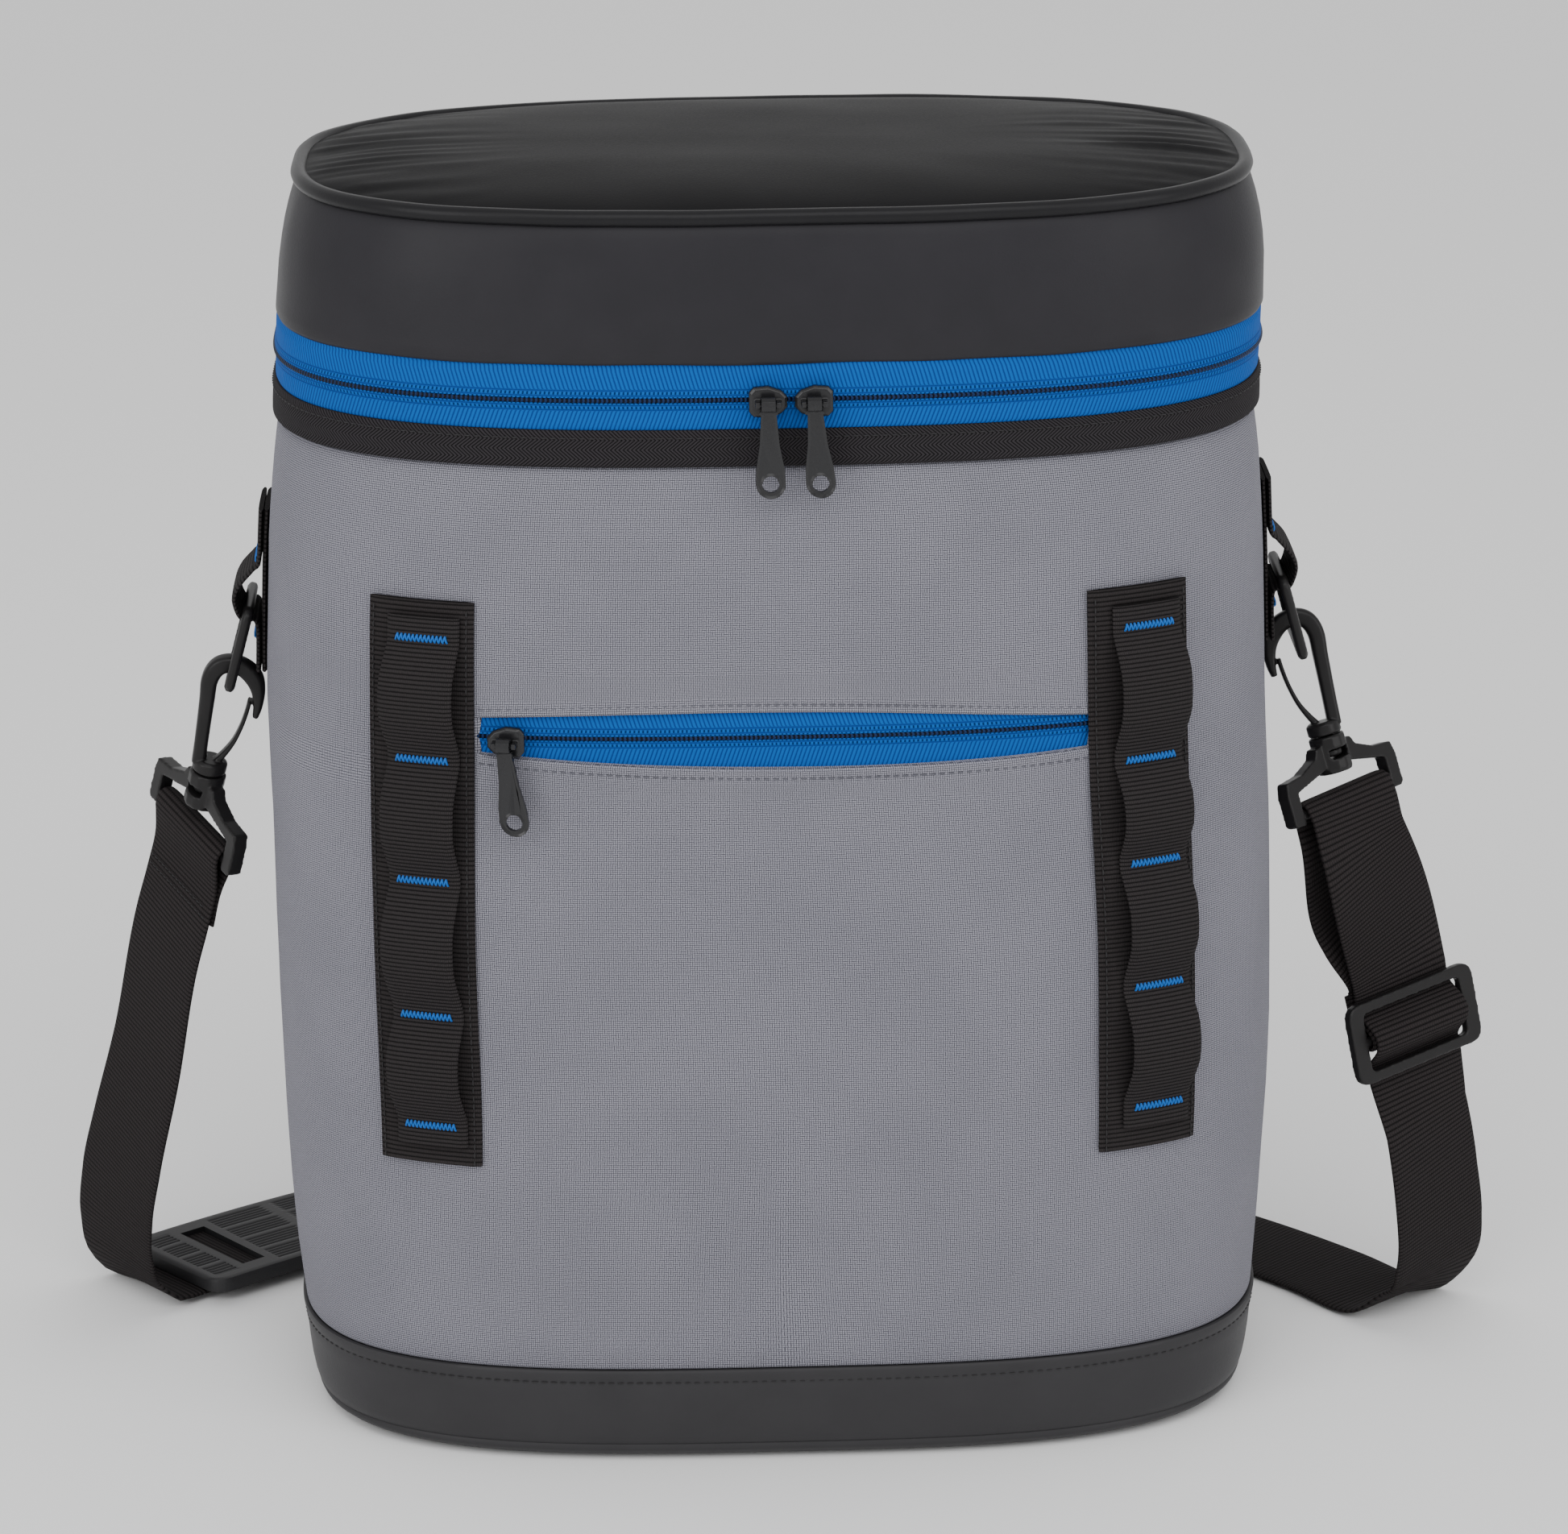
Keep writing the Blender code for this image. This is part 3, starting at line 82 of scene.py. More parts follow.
def lamp(name, place, size, power):
    """Soft rectangular light that looks at the bag."""
    data = bpy.data.lights.new(name, "AREA")
    data.shape = "RECTANGLE"
    data.size, data.size_y = size
    data.energy = power
    made = bpy.data.objects.new(name, data)
    bpy.context.scene.collection.objects.link(made)
    made.location = place
    made.rotation_euler = (AIM - Vector(place)).to_track_quat("-Z", "Y").to_euler()


def studio():
    """Pale floor under the bag, a pale world and three soft lights."""
    bpy.ops.mesh.primitive_plane_add(size=14.0, location=(0, 0, -0.0004))
    floor = bpy.context.active_object
    floor.name = "floor"
    paint = bpy.data.materials.new("pale_floor")
    paint.use_nodes = True
    shader = paint.node_tree.nodes["Principled BSDF"]
    shader.inputs["Base Color"].default_value = (0.93, 0.93, 0.93, 1)
    shader.inputs["Roughness"].default_value = 0.9
    shader.inputs["Specular IOR Level"].default_value = 0.1
    floor.data.materials.append(paint)
    world = bpy.data.worlds.new("studio")
    bpy.context.scene.world = world
    world.use_nodes = True
    world.node_tree.nodes["Background"].inputs["Color"].default_value = (1, 1, 1, 1)
    world.node_tree.nodes["Background"].inputs["Strength"].default_value = 0.9
    for light in LIGHTS:
        lamp(**light)


studio()
print("studio lights:", [light["name"] for light in LIGHTS])

# %% [markdown]
# Cloth is drawn with maths. Each piece of cloth carries a UV map in millimetres, so a rib or a
# thread has its real pitch, and a small class lets that maths read like ordinary Python: an
# expression on values adds its own Math nodes.

# %% Shader maths
def maths(operation):
    """Method that adds a Math node."""
    return lambda self, *others: Value(self.kit, self.kit.node(
        "ShaderNodeMath", dict(operation=operation), [self, *others]).outputs[0])


class Value:
    """A socket that carries a number, with the operators that a pattern needs."""

    def __init__(self, kit, socket):
        self.kit = kit
        self.socket = socket

    __add__ = __radd__ = maths("ADD")
    __sub__ = maths("SUBTRACT")
    __mul__ = __rmul__ = maths("MULTIPLY")
    __truediv__ = maths("DIVIDE")
    __gt__ = maths("GREATER_THAN")
    __lt__ = maths("LESS_THAN")
    sine = maths("SINE")
    size = maths("ABSOLUTE")
    part = maths("FRACT")
    floor = maths("FLOOR")
    at_most = maths("MINIMUM")

    def __rsub__(self, other):
        return self * -1.0 + other

    def ramp(self, low, high):
        """Goes from 0 to 1 between low and high, smoothly."""
        made = self.kit.node("ShaderNodeMapRange", dict(interpolation_type="SMOOTHSTEP"), [self, low, high])
        return Value(self.kit, made.outputs[0])


class Finish:
    """A material in the making: its nodes, its cloth coordinates and its shader."""

    def __init__(self, name, **fixed):
        self.material = bpy.data.materials.new(name)
        self.material.use_nodes = True
        self.tree = self.material.node_tree
        self.shader = self.tree.nodes["Principled BSDF"]
        for socket, value in fixed.items():
            self.shader.inputs[socket.replace("_", " ")].default_value = value

    def node(self, kind, settings=None, inputs=()):
        """Add a node: its settings first, then values or links for its sockets."""
        made = self.tree.nodes.new(kind)
        for key, value in (settings or {}).items():
            setattr(made, key, value)
        for key, value in inputs.items() if isinstance(inputs, dict) else enumerate(inputs):
            value = getattr(value, "socket", value)
            if isinstance(value, bpy.types.NodeSocket):
                self.tree.links.new(value, made.inputs[key])
            else:
                made.inputs[key].default_value = value
        return made

    def cloth(self):
        """Place on the cloth in millimetres: along it and across it."""
        split = self.node("ShaderNodeSeparateXYZ", inputs=[self.node("ShaderNodeUVMap").outputs[0]])
        return Value(self, split.outputs[0]), Value(self, split.outputs[1])

    def place(self):
        """Place in the object, in metres, as a vector."""
        return self.node("ShaderNodeTexCoord").outputs["Object"]

    def clouds(self, vector, scale, detail=2.0):
        """Soft noise between 0 and 1."""
        made = self.node("ShaderNodeTexNoise", inputs={"Vector": vector, "Scale": scale, "Detail": detail})
        return Value(self, made.outputs[0])

    def blend(self, factor, a, b):
        """Colour between a and b, which are colours or sockets."""
        a, b = ((*colour, 1) if isinstance(colour, tuple) else colour for colour in (a, b))
        made = self.node("ShaderNodeMix", dict(data_type="RGBA"), {0: factor, 6: a, 7: b})
        return made.outputs[2]

    def feed(self, colour=None, roughness=None, height=None, depth=0.0001, strength=1.0):
        """Link what varies into the shader."""
        if colour is not None:
            self.tree.links.new(colour, self.shader.inputs["Base Color"])
        if roughness is not None:
            self.tree.links.new(roughness.socket, self.shader.inputs["Roughness"])
        if height is not None:
            bump = self.node("ShaderNodeBump", inputs={"Strength": strength, "Distance": depth,
                                                       "Height": height})
            self.tree.links.new(bump.outputs[0], self.shader.inputs["Normal"])
        return self.material


def shade(colour, share):
    """The same colour, darker or lighter."""
    return tuple(min(1, c * share) for c in colour)


TURN = 2 * math.pi
print("maths methods:", [name for name in vars(Value) if not name.startswith("_")])

# %% [markdown]
# The grey body is a basket weave of bluish grey yarn. Two crossed waves give the threads, one family
# over and one under in turn, and slow noise makes the yarn uneven. Painted shade darkens the yarn
# where each thread turns away and makes the gaps between the threads nearly black.

# %% Grey weave
def grey_weave():
    finish = Finish("grey_weave", Roughness=0.86, Specular_IOR_Level=0.25)
    along, up = finish.cloth()
    pitch = 0.66
    wobble = finish.clouds(finish.place(), 900.0)
    a = along / pitch + wobble * 0.5
    b = up / pitch + wobble * 0.4
    over = ((a * 0.5).floor() + (b * 0.5).floor()) * 0.5
    turn = over.part() > 0.25
    warp = (a * math.pi).sine().size()
    weft = (b * math.pi).sine().size()
    thread = turn * warp + (1 - turn) * weft
    gap = (warp.at_most(weft)).ramp(0.0, 0.42)
    patch = finish.clouds(finish.place(), 30.0)
    yarn = finish.blend(patch.ramp(0.3, 0.7), (0.244, 0.242, 0.281), (0.266, 0.263, 0.305))
    # Painted shade: the yarn darkens towards the edges of each thread, where it turns away.
    lit = finish.blend(thread.ramp(0.15, 0.9), (0.105, 0.105, 0.127), yarn)
    # Painted shade: the gaps between the threads are nearly black.
    colour = finish.blend(gap, (0.028, 0.028, 0.038), lit)
    return finish.feed(colour, None, thread * 0.7 + gap * 0.5, 0.00016, 0.8)


# %% [markdown]
# The lid and the bottom band are cloth coated with black polyurethane: a satin skin with a very
# fine grain that breaks its highlights. Its colour is painted darker in the low parts of its creases
# and lighter on their crests, as shade and light.

# %% Coated cloth
def coated(name, colour, roughness, shine=0.16):
    finish = Finish(name, Specular_IOR_Level=shine)
    grain = finish.clouds(finish.place(), 1500.0, 3.0)
    creases = finish.clouds(finish.place(), 55.0, 4.0)
    # Painted shade and light: the tone follows the creases' bump, darker in them and lighter on their crests.
    tone = finish.blend(creases, shade(colour, 0.86), shade(colour, 1.14))
    return finish.feed(tone, grain * 0.12 + (roughness - 0.06), grain * 0.6 + creases * 0.8, 0.00012, 0.55)


# %% [markdown]
# All the webbing is woven nylon with ribs across it. Each rib is a round cord seen as a wave
# along the web, broken by fine yarn, and painted shade darkens the web between the ribs and
# between the yarns. The binding tape has slanted ribs instead.

# %% Webbing
def webbing(name, pitch, tone, knit=0.55):
    """Ribs run across the web, with fine yarn along it."""
    finish = Finish(name, Roughness=0.82, Specular_IOR_Level=0.1)
    along, across = finish.cloth()
    fuzz = finish.clouds(finish.place(), 1400.0)
    rib = ((along + fuzz * 0.25) * (math.pi / pitch)).sine().size()
    yarn = ((across + fuzz * 0.3) * (math.pi / knit)).sine().size()
    height = rib * 0.75 + yarn * 0.3
    # Painted shade: the web is nearly black between its ribs.
    dark = finish.blend(rib.ramp(0.1, 0.9), shade(tone, 0.14), tone)
    # Painted shade: the web is darker between its yarns.
    colour = finish.blend(yarn.ramp(0.0, 0.6), shade(tone, 0.45), dark)
    return finish.feed(colour, None, height, 0.00035, 0.9)


def herringbone(name, tone):
    """Binding tape: slanted ribs that turn back at its middle line."""
    finish = Finish(name, Roughness=0.8, Specular_IOR_Level=0.1)
    along, across = finish.cloth()
    fuzz = finish.clouds(finish.place(), 1400.0)
    zigzag = ((across / 5.6).part() - 0.5).size() * 5.6
    rib = ((along + zigzag * 1.2 + fuzz * 0.2) * (math.pi / 1.25)).sine().size()
    # Painted shade: the tape darkens between its slanted ribs.
    colour = finish.blend(rib.ramp(0.15, 0.85), shade(tone, 0.1), tone)
    return finish.feed(colour, None, rib, 0.0003, 0.9)


# %% [markdown]
# The zip tape is saturated blue twill, with painted shade between its threads. Beside the teeth it
# is thicker, with a row of small needle holes painted nearly black as shade in them, and the coil
# itself is a string of navy teeth.

# %% Zip tape and teeth
def zip_tape():
    finish = Finish("blue_zip_tape", Roughness=0.7, Specular_IOR_Level=0.08)
    along, across = finish.cloth()
    fuzz = finish.clouds(finish.place(), 1200.0)
    away = across.size()
    rib = ((along + away * 0.35 + fuzz * 0.1) * (math.pi / 1.3)).sine().size()
    near = 1 - away.ramp(3.0, 3.5)
    braid = ((away + fuzz * 0.1) * (math.pi / 1.45)).sine().size()
    shift = (away / 1.45).floor() * 0.5
    holes = near * braid.ramp(0.55, 0.75) * (away > 0.75) * (((along / 1.3) + shift).part() < 0.42)
    thread = rib * (1 - near) + braid * near
    # Painted shade: the twill is darker between its threads.
    body = finish.blend(thread.ramp(0.1, 0.85), (0.0, 0.036, 0.19), (0.0, 0.092, 0.385))
    # Painted shade: the needle holes are nearly black.
    colour = finish.blend(holes * 0.85, body, (0.0, 0.008, 0.045))
    return finish.feed(colour, None, thread - holes * 0.8, 0.00025, 0.8)


def zip_teeth():
    finish = Finish("navy_zip_teeth", Roughness=0.5, Specular_IOR_Level=0.2)
    along, across = finish.cloth()
    tooth = ((along + across.size() * 0.3) * (math.pi / 1.4)).sine().size()
    # Painted shade: the coil is nearly black between its teeth.
    colour = finish.blend(tooth.ramp(0.45, 0.85), (0.0, 0.0015, 0.009), (0.001, 0.015, 0.07))
    return finish.feed(colour, None, tooth, 0.0005, 1.0)


# %% [markdown]
# The hooks, rings and bars are moulded black plastic with a fine spark-eroded grain. The zip
# sliders are enamelled zinc, smoother and a little glossy. The pad is matt rubber.

# %% Plastic, enamel and rubber
def grained(name, shine, dark, light, scale, patches, gloss, bump):
    """Hard finish with a fine grain: patches is the scale of its tone, gloss is the least
    roughness and its spread, bump is the depth of the grain and its strength."""
    finish = Finish(name, Specular_IOR_Level=shine)
    grain = finish.clouds(finish.place(), scale)
    tone = finish.blend(finish.clouds(finish.place(), patches), dark, light)
    return finish.feed(tone, grain * gloss[1] + gloss[0], grain, *bump)


# %% [markdown]
# Sewing thread catches light as a row of short bright dashes, so its material is twisted polyester
# in three colours, painted lighter on the crests of its twist and darker in its grooves.

# %% Thread
def thread(name, colour):
    finish = Finish(name, Roughness=0.6, Specular_IOR_Level=0.3)
    twist = finish.clouds(finish.place(), 3000.0)
    # Painted light and shade: the tone follows the twist that also gives the bump.
    tone = finish.blend(twist, shade(colour, 0.7), shade(colour, 1.2))
    return finish.feed(tone, None, twist, 0.00005, 0.5)


GREY_WEAVE = grey_weave()
LID_CLOTH = coated("coated_lid_cloth", (0.0225, 0.0217, 0.0248), 0.42, 0.1)
# The top panel is the same coated cloth as the lid's side, painted darker: painted shade on the lid's top.
SHADED_TOP_CLOTH = coated("coated_top_cloth_shaded", (0.0105, 0.0103, 0.011), 0.4, 0.02)
BAND_CLOTH = coated("coated_band_cloth", (0.031, 0.0302, 0.0322), 0.48)
PIPE_CLOTH = coated("coated_piping", (0.010, 0.0098, 0.011), 0.36)
CHAIN_WEBBING = webbing("chain_webbing", 1.3, (0.0285, 0.0252, 0.0258))
BACKING_WEBBING = webbing("backing_webbing", 1.45, (0.027, 0.0235, 0.024))
STRAP_WEBBING = webbing("strap_webbing", 1.55, (0.0242, 0.0203, 0.0208), knit=0.95)
BINDING_TAPE = herringbone("binding_tape", (0.029, 0.0262, 0.029))
ZIP_TAPE = zip_tape()
ZIP_TEETH = zip_teeth()
PLASTIC = grained("moulded_black_plastic", 0.22, (0.0075, 0.007, 0.0072), (0.012, 0.0112, 0.0115), 2600.0, 120.0,
                  (0.28, 0.14), (0.00004, 0.5))
ENAMEL = grained("black_enamel", 0.36, (0.008, 0.008, 0.009), (0.013, 0.013, 0.0145), 1800.0, 1800.0, (0.2, 0.1),
                 (0.00003, 0.3))
RUBBER = grained("ribbed_rubber", 0.2, (0.020, 0.0195, 0.021), (0.027, 0.0265, 0.028), 1500.0, 1500.0, (0.42, 0.1),
                 (0.00004, 0.5))
GREY_THREAD = thread("grey_thread", (0.10, 0.10, 0.12))
BLACK_THREAD = thread("black_thread", (0.02, 0.019, 0.02))
BLUE_THREAD = thread("blue_thread", (0.0, 0.105, 0.42))
print("finishes:", len(bpy.data.materials))

# %% [markdown]
# The bag's outline is a rounded rectangle with bulging sides that changes from the base to the
# lid. This short table holds it, level by level, as shares of the bag's width and depth, and
# everything sewn on the bag asks it where the wall is. A place round the wall is a share of the
# way round, counted anticlockwise from the right side: the back is at 0.25, the left side at
# 0.5 and the front at 0.75.

# %% The wall's shape
HALF_WIDTH = 153 * MM
HALF_DEPTH = 88.5 * MM
SEAM_HEIGHT = 386.6 * MM
LEVELS = [
    dict(height=0.000, width=0.925, depth=0.925, shift=0.000, power=3.2),
    dict(height=0.016, width=0.955, depth=0.965, shift=0.000, power=3.2),
    dict(height=0.080, width=0.971, depth=0.985, shift=0.000, power=3.2),
    dict(height=0.165, width=0.988, depth=0.995, shift=-0.003, power=3.1),
    dict(height=0.290, width=1.000, depth=1.000, shift=0.000, power=3.0),
    dict(height=0.430, width=0.998, depth=1.000, shift=-0.004, power=3.0),
    dict(height=0.580, width=0.992, depth=1.000, shift=-0.011, power=2.9),
    dict(height=0.700, width=0.981, depth=0.994, shift=-0.010, power=2.9),
    dict(height=0.775, width=0.966, depth=0.988, shift=-0.007, power=2.9),
    dict(height=0.812, width=0.955, depth=0.984, shift=-0.007, power=2.86),
    dict(height=0.885, width=0.953, depth=0.980, shift=0.000, power=2.86),
    dict(height=0.945, width=0.947, depth=0.976, shift=0.007, power=2.86),
    dict(height=1.000, width=0.920, depth=0.950, shift=0.009, power=2.86),
]


def bend(t, start, end, leave, arrive):
    """Smooth curve from start to end that leaves and arrives with given slopes."""
    return ((2 * t ** 3 - 3 * t ** 2 + 1) * start + (t ** 3 - 2 * t ** 2 + t) * leave
            + (3 * t ** 2 - 2 * t ** 3) * end + (t ** 3 - t ** 2) * arrive)


def level_at(height):
    """Sizes of the outline at a height, on smooth curves through the table."""
    share = min(max(height / SEAM_HEIGHT, 0.0), 1.0)
    i = next(i for i in range(len(LEVELS) - 1) if share <= LEVELS[i + 1]["height"] or i == len(LEVELS) - 2)
    low, high = LEVELS[i], LEVELS[i + 1]
    before, after = LEVELS[max(i - 1, 0)], LEVELS[min(i + 2, len(LEVELS) - 1)]
    span = high["height"] - low["height"]
    sizes = {}
    for key in ("width", "depth", "shift", "power"):
        leave = (high[key] - before[key]) / (high["height"] - before["height"]) * span
        arrive = (after[key] - low[key]) / (after["height"] - low["height"]) * span
        sizes[key] = bend((share - low["height"]) / span, low[key], high[key], leave, arrive)
    return sizes


def angle_at(share):
    """Angle at a share of a turn, with close steps where the outline is flattest."""
    quarter, part = divmod(4 * share, 1)
    near, far = part ** 1.55, (1 - part) ** 1.55
    return (quarter + near / (near + far)) * TURN / 4


def round_the_wall(steps=1440, fine=7200):
    """Angles of the outline at equal lengths round it, and its length in millimetres."""
    sizes = level_at(0.5 * SEAM_HEIGHT)
    spots = [outline_point(angle_at(i / fine), sizes, 0.0) for i in range(fine + 1)]
    along = [0.0]
    for a, b in zip(spots, spots[1:]):
        along.append(along[-1] + (b - a).length)
    angles = []
    place = 0
    for i in range(steps):
        while along[place + 1] < along[-1] * i / steps:
            place += 1
        t = (along[-1] * i / steps - along[place]) / (along[place + 1] - along[place])
        low, high = angle_at(place / fine), angle_at((place + 1) / fine)
        angles.append(low + (high - low) * t)
    return angles, along[-1] / MM


def outline_point(angle, sizes, proud):
    """Point of the outline at an angle, as x and y, pushed out by proud."""
    c, s = math.cos(angle), math.sin(angle)
    reach = 2 / sizes["power"]
    x = (HALF_WIDTH * sizes["width"] + proud) * math.copysign(abs(c) ** reach, c)
    y = (HALF_DEPTH * sizes["depth"] + proud) * math.copysign(abs(s) ** reach, s)
    return Vector((x + HALF_WIDTH * sizes["shift"], y))


ANGLES, GIRTH = round_the_wall()


def wall(share, height, proud=0.0):
    """Point on the wall at a share of the way round."""
    place = (share % 1.0) * len(ANGLES)
    i = int(place)
    a = ANGLES[i]
    b = ANGLES[i + 1] if i + 1 < len(ANGLES) else TURN
    spot = outline_point(a + (b - a) * (place - i), level_at(height), proud)
    return Vector((spot.x, spot.y, height))


def seam(spot):
    """The lid's top is a little lower at the back than at the front."""
    return Vector((0, 0, -2.6 * MM * min(max(spot.y / HALF_DEPTH + 0.35, 0.0), 1.0)))


def outward(share, height):
    """Direction away from the wall."""
    ahead = wall(share + 0.002, height) - wall(share - 0.002, height)
    return Vector((ahead.y, -ahead.x, 0)).normalized()


def share_where(low, high, test):
    """Place between two shares where the test turns true."""
    for _ in range(30):
        middle = (low + high) / 2
        if test(wall(middle, 0.6 * SEAM_HEIGHT)):
            high = middle
        else:
            low = middle
    return (low + high) / 2


def front_share(x):
    """Place on the front at an x."""
    return share_where(0.5, 1.0, lambda point: point.x > x)


def side_share(sign, y):
    """Place on the left (-1) or right (+1) side at a y."""
    if sign < 0:
        return share_where(0.25, 0.75, lambda point: point.y < y)
    return share_where(0.75, 1.25, lambda point: point.y > y)


print("girth in mm:", round(GIRTH), "front middle at:", round(front_share(0.0), 3))

# %% [markdown]
# Cloth is built as a grid of points with a UV map in millimetres. One helper makes the mesh,
# hides the packed solid that the piece stands for and hangs the piece on the body that it rides on.
# Cloth that goes round the bag is a closed shell: its last row joins its first one, out of sight.

# %% Sheet helpers
def piece(name, bm, material, replaces=(), slot=None, body=BAG, smooth=40):
    """Object from a mesh in the making, riding on a body."""
    mesh = bpy.data.meshes.new(name)
    bm.to_mesh(mesh)
    bm.free()
    made = bpy.data.objects.new(name, mesh)
    bpy.context.scene.collection.objects.link(made)
    mesh.materials.append(material)
    mesh.shade_smooth()
    mesh.set_sharp_from_angle(angle=math.radians(smooth))
    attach(made, body)
    if replaces:
        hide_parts(*replaces)
    return made


def sheet_mesh(points, along, across, wrap=False, close=False):
    """Grid of points as faces, with along and across giving each point's UV in millimetres.
    A wrapped grid goes round the bag, and a closed one is a shell: its last row joins the first."""
    bm = bmesh.new()
    uv = bm.loops.layers.uv.new("UVMap")
    rows = [[bm.verts.new(p) for p in row] for row in points]
    columns = len(points[0])
    for r in range(len(rows) if close else len(rows) - 1):
        q = (r + 1) % len(rows)
        for c in range(columns if wrap else columns - 1):
            d = (c + 1) % columns
            face = bm.faces.new([rows[r][c], rows[r][d], rows[q][d], rows[q][c]])
            for loop, (i, j) in zip(face.loops, [(r, c), (r, c + 1), (q, c + 1), (q, c)]):
                loop[uv].uv = (along(i, j), across(i, j))
    if close and not wrap:
        bm.faces.new([row[0] for row in rows])
        bm.faces.new([row[-1] for row in rows])
    bmesh.ops.recalc_face_normals(bm, faces=bm.faces[:])
    return bm


def wall_mesh(points, close=True):
    """Mesh of rows that go all round the wall, with their length and height as UV."""
    step = GIRTH / len(points[0])
    return sheet_mesh(points, lambda i, j: j * step, lambda i, j: points[i][0].z / MM, True, close)


def tube(bm, rings):
    """Closed shell through rings of points."""
    rows = [[bm.verts.new(p) for p in ring] for ring in rings]
    count = len(rows[0])
    for low, high in zip(rows, rows[1:]):
        for k in range(count):
            bm.faces.new([low[k], low[(k + 1) % count], high[(k + 1) % count], high[k]])
    bm.faces.new(rows[0][::-1])
    bm.faces.new(rows[-1])


def fill_row(bm, row, columns):
    """Close the opening at one row of a wrapped grid with a face."""
    bm.verts.ensure_lookup_table()
    bm.faces.new([bm.verts[row * columns + c] for c in range(columns)])
    bmesh.ops.recalc_face_normals(bm, faces=bm.faces[:])


def band(name, rows, material, ends=None, columns=288, **facts):
    """Strip of cloth round the wall: rows give height and proudness, from the lowest hem up.
    The first and last rows lie inside, so the strip has thickness at its edges."""
    if ends is None:
        shares = [i / columns for i in range(columns)]
    else:
        count = max(2, round(columns * (ends[1] - ends[0])))
        shares = spread(*ends, count)
    points = [[wall(s, h * MM, p * MM) for s in shares] for h, p in rows]
    step = (shares[1] - shares[0]) * GIRTH
    heights = [0.0]
    for a, b in zip(points, points[1:]):
        heights.append(heights[-1] + (b[0] - a[0]).length / MM)
    start = shares[0] * GIRTH
    middle = heights[-1] / 2
    bm = sheet_mesh(points, lambda i, j: start + j * step, lambda i, j: heights[i] - middle,
                    ends is None, True)
    return piece(name, bm, material, **facts)


def tape(name, rows, shares, middle, material, **facts):
    """Closed strip along part of the wall, with its height from its middle line as UV."""
    points = [[wall(s, h * MM, p * MM) for s in shares] for h, p in rows]
    bm = sheet_mesh(points, lambda i, j: (shares[j] - shares[0]) * GIRTH, lambda i, j: rows[i][0] - middle,
                    close=True)
    return piece(name, bm, material, **facts)


# %% [markdown]
# Stitches are short threads, a little proud of the cloth, that dive at both ends. One low shape
# of fourteen faces is repeated along a line, and a whole row becomes one piece.

# %% Stitch helper
STITCH_THICK, STITCH_LIFT = 0.42, 0.12
# Rows of one thread: share of its length, fatness, rise
STITCH = [(0.0, 0.35, -0.25), (0.25, 1.0, 0.1), (0.75, 1.0, 0.1), (1.0, 0.35, -0.25)]
TACK = [(-0.06, 1.0, -0.25), (0.2, 1.0, 0.2), (0.8, 1.0, 0.2), (1.06, 1.0, -0.25)]


def low_thread(bm, a, b, out, side, half, foot, steps):
    """Thread from a to b that dives at both ends: steps give share, fatness and rise."""
    rings = []
    for share, fat, rise in steps:
        core = a.lerp(b, share) + out * rise * MM
        rings.append([core + (side * p + out * q) * half * fat * MM
                      for p, q in ((1, foot), (0.6, 0.8), (-0.6, 0.8), (-1, foot))])
    tube(bm, rings)


def stitches(name, line, material, pitch=2.7, length=2.0):
    """Row of stitches along a line of point and outward direction."""
    bm = bmesh.new()
    gone = 0.0
    for (a, out), (b, _) in zip(line, line[1:]):
        ahead = (b - a).normalized()
        up = (out - ahead * out.dot(ahead)).normalized()
        span = (b - a).length / MM
        while gone < span:
            middle = a.lerp(b, gone / span) + out * STITCH_LIFT * MM
            half = ahead * length / 2 * MM
            low_thread(bm, middle - half, middle + half, up, up.cross(ahead), STITCH_THICK / 2, -0.4, STITCH)
            gone += pitch
        gone -= span
    bmesh.ops.recalc_face_normals(bm, faces=bm.faces[:])
    return piece(name, bm, material)


def wall_line(shares, height, proud):
    """Line for stitches along the wall, at a height that may depend on the place."""
    line = []
    for s in shares:
        z = height(s) if callable(height) else height
        line.append((wall(s, z, proud), outward(s, z)))
    return line


def spread(low, high, count):
    return [low + (high - low) * i / count for i in range(count + 1)]


# %% [markdown]
# The grey wall is one padded sheet. Its front has a slit for the pocket zip: the rows of the
# grid follow the slit's curved lips, the lips stand a little proud and between them the wall
# drops back to where the zip tape lies. Slow noise gives the padded wall its gentle dents.

# %% Grey wall
POCKET_LEFT, POCKET_RIGHT = -88 * MM, 91 * MM
COIL_LINE = 232.9


def pocket_top(x):
    """Height of the slit's upper lip in millimetres at an x in millimetres."""
    return 240.7 - 0.00042 * (x + 14) ** 2 - 0.004 * (x + 14)


def pocket_bottom(x):
    return 223.3 + 0.00042 * (x - 8) ** 2 - 0.006 * (x - 8)


def in_pocket(x):
    """1 along the slit, falling to 0 under the webbing on both sides of it."""
    edge = min(x - POCKET_LEFT, POCKET_RIGHT - x) / MM
    return min(max(edge + 0.5, 0.0), 1.0)


# Rows of the slit: upper lip or not, height from that lip, proudness
SLIT = dict(low_swell=(0, -4.5, 0.25), low_crest=(0, -2.0, 0.6), low_lip=(0, -0.7, 0.75), low_edge=(0, 0.0, 0.1),
            floor_low=(0, 0.25, -2.3), floor_high=(1, -0.25, -2.3), high_edge=(1, 0.0, 0.1),
            high_lip=(1, 0.7, 0.75), high_crest=(1, 2.0, 0.6), high_swell=(1, 4.5, 0.25))


